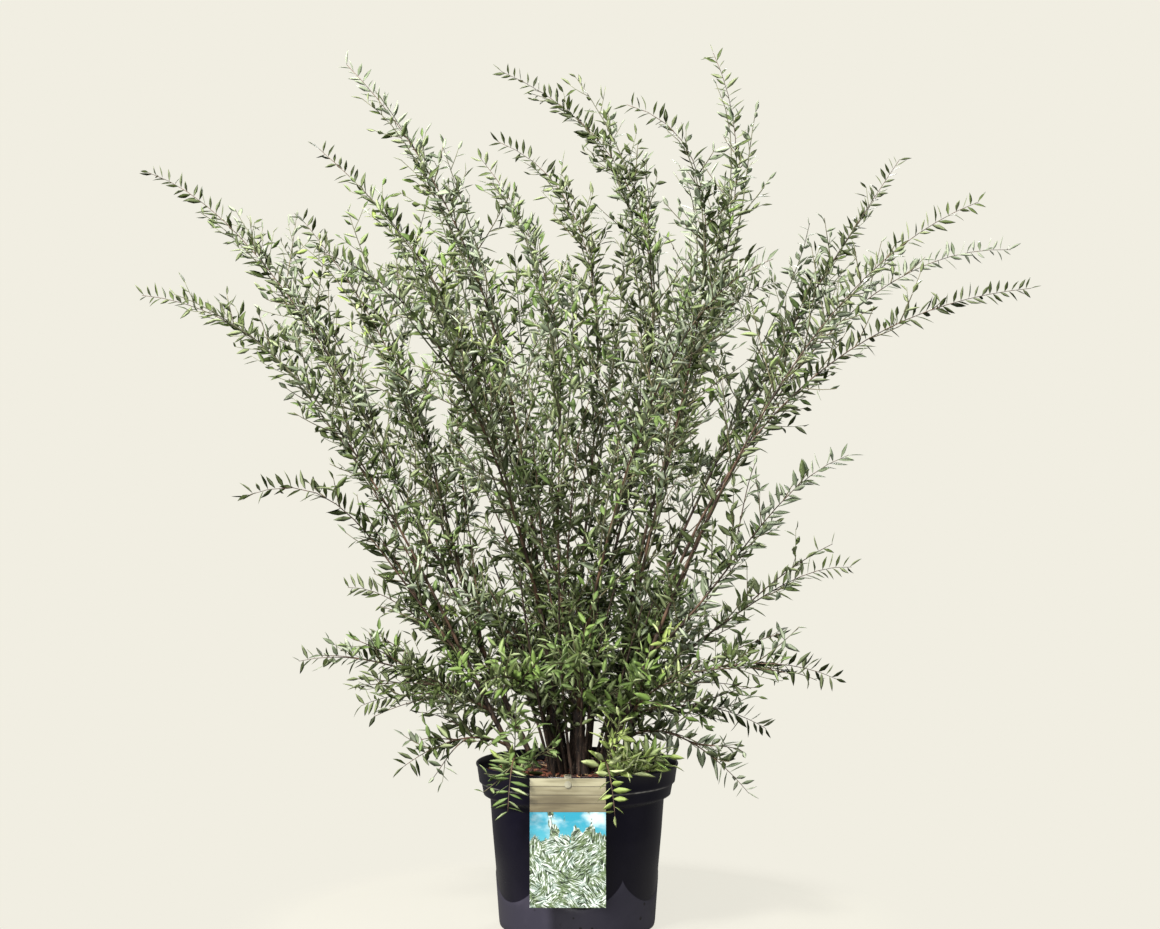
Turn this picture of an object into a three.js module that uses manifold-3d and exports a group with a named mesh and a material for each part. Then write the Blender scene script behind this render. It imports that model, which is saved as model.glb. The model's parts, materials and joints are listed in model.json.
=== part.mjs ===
// Spirea shrub in a ten-litre nursery pot, as a three.js scene graph of closed solids.
// Millimetres, +Z up. The origin is the centre of the pot's flat underside and -Y is the front,
// the side with the label card.
//
// Old stems rise from the soil and fork into arching canes. Each cane is bare below and carries one
// mass of foliage above: the cane's own line carried on to its tip, with side shoots and leaves fused
// on. Short leafy shoots low on the canes and from the soil make the skirt round the foot.

import * as THREE from 'three';
import { mergeVertices } from 'three/addons/utils/BufferGeometryUtils.js';
import Module from 'manifold-3d';

const wasm = await Module();
wasm.setup();

// ---------------------------------------------------------------------------------------------
// Driving dimensions
// ---------------------------------------------------------------------------------------------

const GAP = 0.3; // clearance between solids that touch on the real plant
const SLIVER = 0.15; // edges shorter than this are closed up
const SEAM = 0.01; // how far two pieces of one solid overlap where they are joined flat
const WELD = 1e-4; // corners nearer than this are one
const NEARLY_ALONG = 0.9; // cosine above which one direction can't frame another
const UP = new THREE.Vector3(0, 0, 1);

const POT = {
  height: 224.5,
  baseRadius: 107.5,
  baseChamfer: 3.5,
  shoulderRadius: 120.5, // wall under the rim
  shoulderZ: 180,
  bandRadius: [129.5, 132], // lower tier of the rim, bottom and top
  stepZ: 197,
  rimRadius: [135.5, 140], // upper tier of the rim, bottom and top
  wall: 2.2,
  floor: 3,
  sides: 32,
};

const SOIL = { topZ: 210, flatRadius: 118, edgeZ: 206 };

const CARD = {
  width: 100,
  height: 170,
  thickness: 0.7,
  centreX: -12,
  topZ: 223.5,
  holeRadius: 3.4,
  holeDrop: 8,
  holeSides: 12, // straight stretches in each half of its rim
};
const HANGER = { width: 9, thickness: 1.2, legOutside: 26, pegRadius: 2.6, buttonRadius: 4.6, sides: 12 };

// Old stems: foot on the soil, fork point and the radius at each.
const STEMS = {
  stem_left: { foot: [-28, 2], fork: [-37, 0, 372], radius: [9.5, 7.8] },
  stem_front: { foot: [6, -24], fork: [-3, -38, 345], radius: [8.5, 7.4] },
  stem_right: { foot: [34, 4], fork: [72, 8, 378], radius: [9.5, 7.8] },
  stem_back: { foot: [-4, 32], fork: [4, 64, 350], radius: [8.5, 7.4] },
};
const STEM_BEND = { at: 0.45, out: 0.12 }; // how far up a stem bends, and how far out for its foot's place

// Canes. from: the stem it forks off, with the side of the fork in degrees, or its foot on the soil.
// lean: heading and tilt from upright at the foot. tip: where the wand ends. end: heading and pitch
// there. bow: lengths of the curve's two handles, as shares of the chord, where they aren't the usual.
const CANES = {
  left_high: { from: 'stem_left', side: 160, lean: [184, 5], tip: [-314, -130, 1173], end: [182, 44] },
  left_top: { from: [-56, 18], lean: [174, 25], tip: [-621, 60, 1053], end: [178, 14], bow: [0.42, 0.2] },
  left_wide: { from: [-76, -16], lean: [186, 27], tip: [-597, -90, 863], end: [184, 2] },
  centre_left: { from: 'stem_front', side: 130, lean: [60, 7], tip: [-126, 60, 1098], end: [180, 18] },
  top_arch: {
    from: 'stem_back',
    side: 10,
    lean: [20, 16],
    tip: [-124, 150, 1216],
    end: [180, 22],
    bow: [0.44, 0.42],
  },
  top_nod: { from: 'stem_right', side: 250, lean: [310, 12], tip: [51, -190, 1102], end: [190, 8] },
  top_right: { from: 'stem_right', side: 130, lean: [10, 5], tip: [181, -20, 1215], end: [180, 63] },
  right_high: { from: 'stem_right', side: 10, lean: [12, 22], tip: [479, 150, 1093], end: [8, 56] },
  right_top: { from: [62, 26], lean: [14, 15], tip: [652, 170, 951], end: [8, -4] },
  right_wide: { from: [60, -20], lean: [358, 9], tip: [641, -10, 880], end: [358, 4], bow: [0.45, 0.36] },
  right_mid: { from: [38, -44], lean: [338, 20], tip: [539, -150, 984], end: [358, 18], bow: [0.42, 0.26] },
  front_left: { from: 'stem_left', side: 270, lean: [236, 20], tip: [-300, -470, 880], end: [236, 4] },
  front_right: { from: 'stem_front', side: 300, lean: [304, 19], tip: [230, -500, 870], end: [300, 4] },
  back_left: { from: 'stem_back', side: 130, lean: [126, 19], tip: [-320, 450, 950], end: [126, 8] },
  back_right: { from: 'stem_back', side: 250, lean: [56, 19], tip: [330, 450, 930], end: [54, 6] },
};
// A cane from a fork and one from the soil: the share of its line that is bare, and its usual bow.
const FORKED = { bare: 0.1, bow: [0.4, 0.32] };
const ROOTED = { bare: 0.22, bow: [0.42, 0.3] };
const FORK = { spread: 6.2, sunk: 6 }; // from the stem's centre to a cane's, and how far it starts inside

// Skirt shoots. from: a limb with the share of the way up it, or a foot on the soil.
const SHOOT_BOW = [0.38, 0.3];
const SPRIG_BOW = [0.72, 0.7]; // up and over the rim
const ARM_BOW = [0.55, 0.4];
const SHOOTS = {
  left_arm: {
    from: 'left_wide',
    at: 0.85,
    lean: [188, 40],
    tip: [-452, -130, 588],
    end: [190, -24],
    bow: ARM_BOW,
  },
  left_upper: { from: 'left_top', at: 0.62, lean: [178, 58], tip: [-334, 20, 462], end: [182, -12] },
  left_mid: { from: 'left_wide', at: 0.5, lean: [190, 58], tip: [-386, -90, 368], end: [188, -18] },
  left_low: { from: 'left_top', at: 0.34, lean: [170, 62], tip: [-322, 90, 284], end: [172, -28] },
  left_foot: { from: 'left_wide', at: 0.22, lean: [200, 60], tip: [-244, -96, 222], end: [196, -38] },
  right_arm: { from: 'right_mid', at: 0.85, lean: [350, 50], tip: [372, -130, 652], end: [352, 14] },
  right_upper: { from: 'right_top', at: 0.62, lean: [4, 62], tip: [404, 70, 488], end: [0, -10] },
  right_mid: { from: 'right_wide', at: 0.52, lean: [350, 62], tip: [362, -80, 340], end: [354, -30] },
  right_low: { from: 'right_top', at: 0.32, lean: [14, 64], tip: [280, 72, 252], end: [10, -36] },
  right_foot: { from: 'right_wide', at: 0.24, lean: [342, 60], tip: [240, -80, 182], end: [350, -52] },
  front_sprig_left: {
    from: [-78, -88],
    lean: [258, 14],
    tip: [-90, -180, 172],
    end: [262, -78],
    bow: SPRIG_BOW,
  },
  front_sprig_right: {
    from: [30, -104],
    lean: [282, 14],
    tip: [50, -192, 168],
    end: [285, -78],
    bow: SPRIG_BOW,
  },
  front_low_left: { from: 'stem_left', at: 0.5, lean: [230, 50], tip: [-128, -206, 352], end: [236, -14] },
  front_low_mid: { from: 'stem_front', at: 0.62, lean: [278, 46], tip: [6, -262, 396], end: [276, -8] },
  front_low_right: { from: 'right_mid', at: 0.36, lean: [300, 50], tip: [150, -226, 350], end: [304, -18] },
  back_low_left: { from: 'stem_back', at: 0.6, lean: [120, 50], tip: [-120, 270, 350], end: [118, -20] },
  back_low_right: { from: 'stem_back', at: 0.5, lean: [56, 50], tip: [140, 262, 350], end: [58, -20] },
  inner_left: { from: 'stem_left', at: 0.8, lean: [204, 44], tip: [-176, -70, 480], end: [176, 30] },
  inner_right: { from: 'stem_right', at: 0.8, lean: [326, 42], tip: [150, -96, 480], end: [340, 34] },
};
// Three more shoots reach up among the crowns.
const TALL_BOW = [0.44, 0.42];
const TALL_SHOOTS = {
  left_spur: { from: 'left_high', at: 0.5, lean: [215, 18], tip: [-360, -60, 1072], end: [176, 40] },
  left_arch: { from: 'left_top', at: 0.72, lean: [200, 18], tip: [-390, -20, 987], end: [176, 50] },
  centre_spur: { from: 'stem_front', at: 0.8, lean: [215, 16], tip: [-140, -60, 1062], end: [176, 50] },
};

// Taper of the limbs, as radii.
const CANE_RADIUS = { foot: 4.6, tip: 1.7, flare: 1.45, flareShare: 0.12 };
const SHOOT_RADIUS = { foot: 2.6, tip: 1.5 };
const SIDE_RADIUS = { foot: 1.9, tip: 1.2 };

// Growth rule. Side shoots turn by the golden angle from one to the next. The plant has one every
// pitch; this model grows each fourth of them, with leaves larger and fewer than the plant's own.
const TURN = THREE.MathUtils.degToRad(137.5);
const SIDE = {
  pitch: 23,
  every: 4,
  fewest: 3,
  lastAt: 0.84, // share of the line where they end
  crownLength: 230,
  skirtLength: 130,
  size: [0.62, 1.12],
  fall: 0.62, // how fast lengths fall towards the tip
  low: 0.45, // length of a crown's lowest shoots, as a share of full growth
  fullAt: 0.35, // share of the line where a crown's shoots reach full growth
  light: 0.95, // how much longer on the upper side, and shorter on the underside
  longest: 1.12,
  least: 30,
  angle: [32, 60], // from the line, in degrees
  lift: 0.3, // how much the outer half turns up
  leafy: 0.25, // share of the shoot below its first leaf
};
const LEAF = {
  length: 68,
  width: 24,
  thickness: 1.6,
  widestAt: 0.42,
  pitch: 36,
  offset: 0.6, // place of the first leaf, as a share of a pitch
  lastAt: 0.995, // share of the twig where its last leaf sits
  lean: 0.62, // along the twig
  spread: 0.72, // away from it
  rise: 0.34, // towards the light
  tipSpread: 0.12,
  size: [0.8, 1.05],
  tipSize: 0.85, // the leaf that ends a twig
  roll: 2.4,
  steepest: 0.97, // sine of the steepest leaf's pitch
  tests: [0.3, 0.42, 0.7, 1], // shares of a leaf's length where its room is tested
};
const TURN_SPREAD = { side: 0.9, leaf: 0.8 }; // random part of the turn, in radians
const FIRST_LEAF = 0.06; // share of a mass's own line below its first leaf
const CLEAR = 2.2; // how far a leaf or twig keeps from the border of its mass's space
const STEPS = { stem: 8, cane: 5, crown: 7, skirt: 4, side: 2 }; // straight stretches in each line
const SIDES = { stem: 8, cane: 6, twig: 3 }; // flats round each limb
const SEEDS_APART = 1000; // a mass's side shoots take seeds of their own after this many times its own

const finish = (color, roughness) => new THREE.MeshStandardMaterial({ color, roughness, metalness: 0 });
const MATERIAL = {
  plastic: finish(0x26242a, 0.42),
  soil: finish(0x4a3226, 0.95),
  card: finish(0xb9b39a, 0.45),
  clip: finish(0xd8d8d2, 0.4),
  bark: finish(0x5b4636, 0.85),
  leaf: finish(0x5c7a48, 0.6),
};

// ---------------------------------------------------------------------------------------------
// Small tools
// ---------------------------------------------------------------------------------------------

// Seeded random numbers from 0 to 1 (mulberry32).
function dice(seed) {
  let state = seed >>> 0;
  return () => {
    state = (state + 0x6d2b79f5) >>> 0;
    let t = state;
    t = Math.imul(t ^ (t >>> 15), t | 1);
    t ^= t + Math.imul(t ^ (t >>> 7), t | 61);
    return ((t ^ (t >>> 14)) >>> 0) / 4294967296;
  };
}

// Unit vector from a heading round Z and a pitch above the horizon, in degrees.
function direction(heading, pitch) {
  const h = THREE.MathUtils.degToRad(heading);
  const p = THREE.MathUtils.degToRad(pitch);
  return new THREE.Vector3(Math.cos(h) * Math.cos(p), Math.sin(h) * Math.cos(p), Math.sin(p));
}

function toSolid(geometry) {
  const bare = geometry.clone();
  bare.deleteAttribute('normal');
  bare.deleteAttribute('uv');
  const merged = mergeVertices(bare, WELD);
  return new wasm.Manifold(
    new wasm.Mesh({
      numProp: 3,
      vertProperties: merged.attributes.position.array,
      triVerts: new Uint32Array(merged.index.array),
    }),
  );
}

// The largest body of a solid, as a geometry, without the slivers that joining leaves. Scraps that
// touch nothing are dropped.
function toGeometry(solid) {
  const tidy = solid.simplify(SLIVER);
  const body = tidy.decompose().reduce((a, b) => (b.volume() > a.volume() ? b : a));
  const mesh = body.getMesh();
  const geometry = new THREE.BufferGeometry();
  geometry.setAttribute('position', new THREE.BufferAttribute(mesh.vertProperties, 3));
  geometry.setIndex(new THREE.BufferAttribute(mesh.triVerts, 1));
  geometry.computeVertexNormals();
  return geometry;
}

// A cylinder bent along a polyline, with a radius at each of its points. A level foot is cut flat.
function limbGeometry(points, radii, sides, levelFoot = false) {
  const steps = points.length - 1;
  const geometry = new THREE.CylinderGeometry(1, 1, 1, sides, steps);
  const frames = frameAlong(points);
  const position = geometry.attributes.position;
  for (let i = 0; i < position.count; i++) {
    const k = Math.round((position.getY(i) + 0.5) * steps);
    const { normal, binormal } = frames[k];
    const p = points[k].clone();
    p.addScaledVector(normal, radii[k] * position.getX(i));
    p.addScaledVector(binormal, radii[k] * position.getZ(i));
    if (levelFoot && k === 0) p.z = points[0].z;
    position.setXYZ(i, p.x, p.y, p.z);
  }
  return geometry;
}

// Normal and binormal at each point of a polyline, turning as little as they can.
function frameAlong(points) {
  const last = points.length - 1;
  let normal = new THREE.Vector3(1, 0, 0);
  return points.map((p, i) => {
    const tangent = points[Math.min(i + 1, last)].clone().sub(points[Math.max(i - 1, 0)]).normalize();
    if (Math.abs(normal.dot(tangent)) > NEARLY_ALONG) normal = new THREE.Vector3(0, 1, 0);
    normal = normal.clone().addScaledVector(tangent, -normal.dot(tangent)).normalize();
    return { normal, binormal: normal.clone().cross(tangent) };
  });
}

// A limb with the clearance round it, which what grows on it is cut by.
function roomRound({ points, radii, sides }) {
  const room = radii.map((r) => r + GAP / Math.cos(Math.PI / sides));
  const beyond = points.at(-1).clone().sub(points.at(-2)).setLength(GAP).add(points.at(-1));
  return toSolid(limbGeometry([...points, beyond], [...room, room.at(-1)], sides));
}

// Points on a curve between two shares of its length.
function sample(curve, from, to, steps) {
  return Array.from({ length: steps + 1 }, (_, i) => curve.getPointAt(from + ((to - from) * i) / steps));
}

// The point of a polyline that is nearest to p.
function nearestOn(points, p) {
  const line = new THREE.Line3();
  const best = new THREE.Vector3();
  const found = new THREE.Vector3();
  for (let i = 1; i < points.length; i++) {
    line.set(points[i - 1], points[i]).closestPointToPoint(p, true, found);
    if (i === 1 || found.distanceToSquared(p) < best.distanceToSquared(p)) best.copy(found);
  }
  return best;
}

// ---------------------------------------------------------------------------------------------
// Pot, soil and label
// ---------------------------------------------------------------------------------------------

// A profile of [radius, height] pairs turned round Z.
function turned(profile) {
  const geometry = new THREE.LatheGeometry(
    profile.map(([r, z]) => new THREE.Vector2(r, z)),
    POT.sides,
  );
  return geometry.rotateX(Math.PI / 2);
}

// The wall's inner radius at a height, following the outer wall from floor to rim.
function innerRadius(z) {
  const outer = [
    [0, POT.baseRadius],
    [POT.shoulderZ, POT.shoulderRadius],
    [POT.stepZ, POT.bandRadius[0]],
    [POT.height, POT.rimRadius[1]],
  ];
  const k = outer.findIndex(([top]) => z <= top) || 1;
  const [z0, r0] = outer[k - 1];
  const [z1, r1] = outer[k];
  return THREE.MathUtils.mapLinear(z, z0, z1, r0, r1) - POT.wall;
}

function potGeometry() {
  const inside = [POT.height, POT.stepZ, POT.shoulderZ, POT.floor].map((z) => [innerRadius(z), z]);
  return turned([
    [0, 0],
    [POT.baseRadius - POT.baseChamfer, 0],
    [POT.baseRadius, POT.baseChamfer],
    [POT.shoulderRadius, POT.shoulderZ],
    [POT.bandRadius[0], POT.shoulderZ + 1],
    [POT.bandRadius[1], POT.stepZ],
    [POT.rimRadius[0], POT.stepZ + 1],
    [POT.rimRadius[1], POT.height],
    ...inside,
    [0, POT.floor],
  ]);
}

function soilGeometry() {
  const fit = (z) => [innerRadius(z) - GAP, z];
  return turned([
    [0, POT.floor + GAP],
    fit(POT.floor + GAP),
    fit(POT.shoulderZ),
    fit(POT.stepZ),
    fit(SOIL.edgeZ),
    [SOIL.flatRadius, SOIL.topZ],
    [0, SOIL.topZ],
  ]);
}

// The card stands upright against the front of the rim. Its back lies clear of the hanger's outer leg.
const cardBackY = -(POT.rimRadius[1] + GAP + HANGER.thickness + GAP);
const pegZ = CARD.topZ - CARD.holeDrop;

function cardGeometry() {
  const outline = new THREE.Shape();
  outline.moveTo(-CARD.width / 2, -CARD.height);
  outline.lineTo(CARD.width / 2, -CARD.height);
  outline.lineTo(CARD.width / 2, 0);
  outline.lineTo(-CARD.width / 2, 0);
  outline.closePath();
  outline.holes.push(new THREE.Path().absarc(0, -CARD.holeDrop, CARD.holeRadius, 0, 2 * Math.PI, true));
  const geometry = new THREE.ExtrudeGeometry(outline, {
    depth: CARD.thickness,
    bevelEnabled: false,
    curveSegments: CARD.holeSides,
  });
  return geometry.rotateX(Math.PI / 2).translate(CARD.centreX, cardBackY, CARD.topZ);
}

// A strip bent over the rim. Its inner leg stands on the soil, and a peg with a button on its outer
// leg holds the card.
function hangerGeometry() {
  const t = HANGER.thickness;
  const outerY = cardBackY + GAP;
  // The flats of the turned wall come nearer than its corners, so the leg keeps clear of the next corner.
  const wallY = -innerRadius(SOIL.topZ) * Math.cos((2 * Math.PI) / POT.sides);
  const innerY = wallY + GAP + t;
  const topZ = POT.height + GAP + t;
  const bottomZ = topZ - HANGER.legOutside;
  const insideZ = SOIL.topZ + GAP;
  const side = new THREE.Shape([
    new THREE.Vector2(outerY, bottomZ),
    new THREE.Vector2(outerY + t, bottomZ),
    new THREE.Vector2(outerY + t, topZ - t),
    new THREE.Vector2(innerY - t, topZ - t),
    new THREE.Vector2(innerY - t, insideZ),
    new THREE.Vector2(innerY, insideZ),
    new THREE.Vector2(innerY, topZ),
    new THREE.Vector2(outerY, topZ),
  ]);
  const strip = new THREE.ExtrudeGeometry(side, { depth: HANGER.width, bevelEnabled: false });
  // The shape's x is the model's y and its y the model's z, so the depth runs along x.
  strip.rotateX(Math.PI / 2).rotateZ(Math.PI / 2).translate(CARD.centreX - HANGER.width / 2, 0, 0);
  const frontY = cardBackY - CARD.thickness - GAP;
  const pegLength = outerY + t / 2 - frontY;
  const peg = new THREE.CylinderGeometry(HANGER.pegRadius, HANGER.pegRadius, pegLength, HANGER.sides);
  peg.translate(CARD.centreX, frontY + pegLength / 2, pegZ);
  const button = new THREE.CylinderGeometry(HANGER.buttonRadius, HANGER.buttonRadius, t, HANGER.sides);
  button.translate(CARD.centreX, frontY - t / 2 + SEAM, pegZ);
  return toGeometry(wasm.Manifold.union([toSolid(strip), toSolid(peg), toSolid(button)]));
}

// ---------------------------------------------------------------------------------------------
// Limbs
// ---------------------------------------------------------------------------------------------

// A smooth arch from a start to a tip, leaving and arriving in given directions.
function archCurve(start, plan) {
  const tip = new THREE.Vector3(...plan.tip);
  const chord = start.distanceTo(tip);
  const [near, far] = plan.bow;
  const first = start.clone().addScaledVector(direction(plan.lean[0], 90 - plan.lean[1]), near * chord);
  const second = tip.clone().addScaledVector(direction(...plan.end), -far * chord);
  return new THREE.CubicBezierCurve3(start, first, second, tip);
}

const soilFoot = ([x, y]) => new THREE.Vector3(x, y, SOIL.topZ + GAP);

// Radii that flare out over the first part of a limb and taper evenly after it.
function flaredRadii(count, foot, tip) {
  return Array.from({ length: count }, (_, i) => {
    const s = i / (count - 1);
    const flare = 1 + (CANE_RADIUS.flare - 1) * Math.max(0, 1 - s / CANE_RADIUS.flareShare);
    return THREE.MathUtils.lerp(foot, tip, s) * flare;
  });
}

const limbs = {}; // name: { curve, points, radii, sides, bare, parent }

for (const [name, { foot, fork, radius }] of Object.entries(STEMS)) {
  const start = soilFoot(foot);
  const top = new THREE.Vector3(...fork);
  const middle = start.clone().lerp(top, STEM_BEND.at);
  middle.addScaledVector(new THREE.Vector3(...foot, 0), STEM_BEND.out);
  const curve = new THREE.QuadraticBezierCurve3(start, middle, top);
  const points = sample(curve, 0, 1, STEPS.stem);
  limbs[name] = { curve, points, radii: flaredRadii(points.length, ...radius), sides: SIDES.stem, bare: 1 };
}

const masses = {}; // name: { curve, start, radii, side, low, steps, cutBy }

for (const [name, given] of Object.entries(CANES)) {
  const parent = limbs[given.from];
  const plan = { ...(parent ? FORKED : ROOTED), ...given };
  const start = parent
    ? parent.points.at(-1).clone().addScaledVector(direction(plan.side, 0), FORK.spread)
    : soilFoot(plan.from);
  const curve = archCurve(start, plan);
  const radiusAt = (s) => THREE.MathUtils.lerp(CANE_RADIUS.foot, CANE_RADIUS.tip, s);
  const points = sample(curve, 0, plan.bare, STEPS.cane);
  const radii = parent
    ? points.map((_, i) => radiusAt((plan.bare * i) / STEPS.cane))
    : flaredRadii(points.length, CANE_RADIUS.foot, radiusAt(plan.bare));
  limbs[`cane_${name}`] = { curve, points, radii, sides: SIDES.cane, bare: plan.bare, parent };
  masses[`crown_${name}`] = {
    curve,
    start: plan.bare + GAP / curve.getLength(),
    radii: [radiusAt(plan.bare), CANE_RADIUS.tip],
    side: SIDE.crownLength,
    low: SIDE.low,
    steps: STEPS.crown,
  };
}

function addShoots(plans, kind, { bow, side, low, steps }) {
  for (const [name, plan] of Object.entries(plans)) {
    const limb = limbs[plan.from] ?? limbs[`cane_${plan.from}`];
    const start = limb ? limb.curve.getPointAt(plan.at * limb.bare) : soilFoot(plan.from);
    masses[`${kind}_${name}`] = {
      curve: archCurve(start, { bow, ...plan }),
      start: 0,
      radii: [SHOOT_RADIUS.foot, SHOOT_RADIUS.tip],
      side,
      low,
      steps,
      cutBy: limb,
    };
  }
}
addShoots(SHOOTS, 'skirt', { bow: SHOOT_BOW, side: SIDE.skirtLength, low: 1, steps: STEPS.skirt });
addShoots(TALL_SHOOTS, 'crown', { bow: TALL_BOW, side: SIDE.crownLength, low: SIDE.low, steps: STEPS.crown });

// ---------------------------------------------------------------------------------------------
// Foliage: each mass keeps to the space that is nearer its own line than any other mass's
// ---------------------------------------------------------------------------------------------

const lines = Object.entries(masses).map(([name, mass]) => ({
  name,
  points: sample(mass.curve, mass.start, 1, 2 * mass.steps),
}));

// Whether a point with room round it lies in the pot, the soil or the label.
function inPot(p, room) {
  const r = Math.hypot(p.x, p.y);
  if (p.z < SOIL.topZ + room && r < POT.rimRadius[1] + room) return true;
  if (p.z < POT.height + room && r > POT.rimRadius[0] - room && r < POT.rimRadius[1] + room) return true;
  const overCard = Math.abs(p.x - CARD.centreX) < CARD.width / 2 + room && p.z < CARD.topZ + room;
  return overCard && p.y < cardBackY + room && p.y > cardBackY - HANGER.pegRadius - room;
}

// Whether a mass may fill a point: room is the half width of what is put there. Its space ends half
// way to the next mass's line.
function ownSpace(name, p, room) {
  if (inPot(p, room + CLEAR)) return false;
  const own = nearestOn(lines.find((line) => line.name === name).points, p);
  for (const line of lines) {
    if (line.name === name) continue;
    const other = nearestOn(line.points, p);
    const toBorder = (p.distanceToSquared(other) - p.distanceToSquared(own)) / (2 * own.distanceTo(other));
    if (toBorder < room + CLEAR) return false;
  }
  const bare = Object.values(limbs);
  return bare.every(({ points, radii }) => nearestOn(points, p).distanceTo(p) > radii[0] + room + CLEAR);
}

// Side shoots of a mass: the plan has one every pitch up to a share of the line, each from its own
// seed. Lengths fall to the last one, and a crown's lowest shoots are short as well.
function sideShoots(mass, seed) {
  const length = mass.curve.getLength() * (1 - mass.start);
  const count = Math.max(SIDE.fewest, Math.round((length * SIDE.lastAt) / SIDE.pitch));
  const shoots = [];
  for (let i = 0; i < count; i += SIDE.every) {
    const draw = dice(seed * SEEDS_APART + i);
    const u = (SIDE.lastAt * (i + 0.5)) / count;
    const at = mass.start + (1 - mass.start) * u;
    const start = mass.curve.getPointAt(at);
    const tangent = mass.curve.getTangentAt(at);
    const turn = i * TURN + (draw() - 0.5) * TURN_SPREAD.side;
    const across = new THREE.Vector3().crossVectors(tangent, UP).normalize();
    const radial = across.clone().applyAxisAngle(tangent, turn);
    const angle = THREE.MathUtils.degToRad(THREE.MathUtils.lerp(...SIDE.angle, draw()));
    const lit = Math.min(SIDE.longest, 1 + SIDE.light * radial.z);
    const size = THREE.MathUtils.lerp(...SIDE.size, draw()) * lit;
    const grown = mass.low + (1 - mass.low) * Math.min(1, u / SIDE.fullAt);
    const reach = mass.side * size * grown * Math.pow(1 - u / SIDE.lastAt, SIDE.fall);
    const heading = tangent.clone().multiplyScalar(Math.cos(angle)).addScaledVector(radial, Math.sin(angle));
    const second = heading.clone().addScaledVector(UP, SIDE.lift).normalize();
    const bend = start.clone().addScaledVector(heading, reach * 0.5);
    const tip = bend.clone().addScaledVector(second, reach * 0.5);
    if (reach > SIDE.least) shoots.push(new THREE.QuadraticBezierCurve3(start, bend, tip));
  }
  return shoots;
}

// A lance-shaped leaf folded along its midrib, with its root at the origin: length along Y and the
// upper side +Z. Its margins lie below the fold, which gives it its thickness.
function leafGeometry() {
  const { length, width, thickness, widestAt } = LEAF;
  const middle = widestAt * length;
  const geometry = new THREE.BufferGeometry();
  const low = -thickness;
  const corners = [[0, 0, 0], [-width / 2, middle, low], [width / 2, middle, low], [0, length, 0]];
  geometry.setAttribute('position', new THREE.Float32BufferAttribute(corners.flat(), 3));
  geometry.setIndex([0, 1, 2, 3, 2, 1, 0, 2, 3, 0, 3, 1]);
  return geometry;
}

const leafShape = leafGeometry();

// Where a leaf sits: root, the way it points, its roll about that, and its size as a share of a whole
// leaf.
function leafMatrix(root, along, roll, size) {
  const upper = UP.clone().addScaledVector(along, -along.dot(UP)).normalize().applyAxisAngle(along, roll);
  const across = along.clone().cross(upper);
  const place = new THREE.Matrix4().makeBasis(across, along, upper).setPosition(root);
  return place.scale(new THREE.Vector3(size, size, 1));
}

// Leaves along a twig, each turned on from the last, with one at its tip.
function leavesOn(curve, from, to, name, draw) {
  const length = curve.getLength() * (to - from);
  const count = Math.max(1, Math.round(length / LEAF.pitch));
  const found = [];
  for (let i = 0; i <= count; i++) {
    const s = from + (to - from) * Math.min(LEAF.lastAt, (i + LEAF.offset) / (count + LEAF.offset));
    const root = curve.getPointAt(s);
    const tangent = curve.getTangentAt(s);
    const across = new THREE.Vector3().crossVectors(tangent, UP).normalize();
    const radial = across.applyAxisAngle(tangent, i * TURN + draw() * TURN_SPREAD.leaf);
    const spread = i === count ? LEAF.tipSpread : LEAF.spread;
    const along = tangent.clone().multiplyScalar(LEAF.lean).addScaledVector(radial, spread);
    if (i < count) along.addScaledVector(UP, LEAF.rise);
    along.normalize();
    const size = i === count ? LEAF.tipSize : THREE.MathUtils.lerp(...LEAF.size, draw());
    const roll = (draw() - 0.5) * LEAF.roll;
    if (Math.abs(along.z) > LEAF.steepest) continue;
    const fits = LEAF.tests.every((share) => {
      const point = root.clone().addScaledVector(along, LEAF.length * size * share);
      const room = share === 1 ? 0 : LEAF.width / 2;
      return ownSpace(name, point, room);
    });
    if (fits) found.push(toSolid(leafShape).transform(leafMatrix(root, along, roll, size).toArray()));
  }
  return found;
}

// How far a side shoot can grow before it leaves its mass's space, as a share of its length.
function freeShare(curve, name) {
  const tests = 8;
  // The first of them lies by the mass's own line, which is in its space.
  for (let i = 2; i <= tests; i++) {
    if (!ownSpace(name, curve.getPointAt(i / tests), SIDE_RADIUS.foot)) return (i - 1) / tests;
  }
  return 1;
}

function massGeometry(name, mass, seed) {
  const draw = dice(seed);
  // The wood stops short of the named tip, which the last leaf reaches.
  const end = 1 - (LEAF.tipSize * LEAF.length) / mass.curve.getLength();
  const points = sample(mass.curve, mass.start, end, mass.steps);
  const radii = points.map((_, i) => THREE.MathUtils.lerp(...mass.radii, i / mass.steps));
  const onSoil = mass.start === 0 && !mass.cutBy;
  const pieces = [toSolid(limbGeometry(points, radii, SIDES.twig, onSoil))];
  pieces.push(...leavesOn(mass.curve, mass.start + FIRST_LEAF, end, name, draw));
  for (const shoot of sideShoots(mass, seed)) {
    const share = freeShare(shoot, name);
    const length = share * shoot.getLength();
    if (length < SIDE.least) continue;
    const twig = sample(shoot, 0, share, STEPS.side);
    const thin = twig.map((_, i) => THREE.MathUtils.lerp(SIDE_RADIUS.foot, SIDE_RADIUS.tip, i / STEPS.side));
    pieces.push(toSolid(limbGeometry(twig, thin, SIDES.twig)));
    pieces.push(...leavesOn(shoot, SIDE.leafy * share, share, name, draw));
  }
  let solid = wasm.Manifold.union(pieces);
  if (mass.cutBy) solid = solid.subtract(roomRound(mass.cutBy));
  return toGeometry(solid);
}

// ---------------------------------------------------------------------------------------------
// Assembly
// ---------------------------------------------------------------------------------------------

const shrub = new THREE.Group();
shrub.name = 'spirea_in_pot';

function place(name, geometry, material, group = shrub) {
  const mesh = new THREE.Mesh(geometry, material);
  mesh.name = name;
  group.add(mesh);
}

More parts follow.
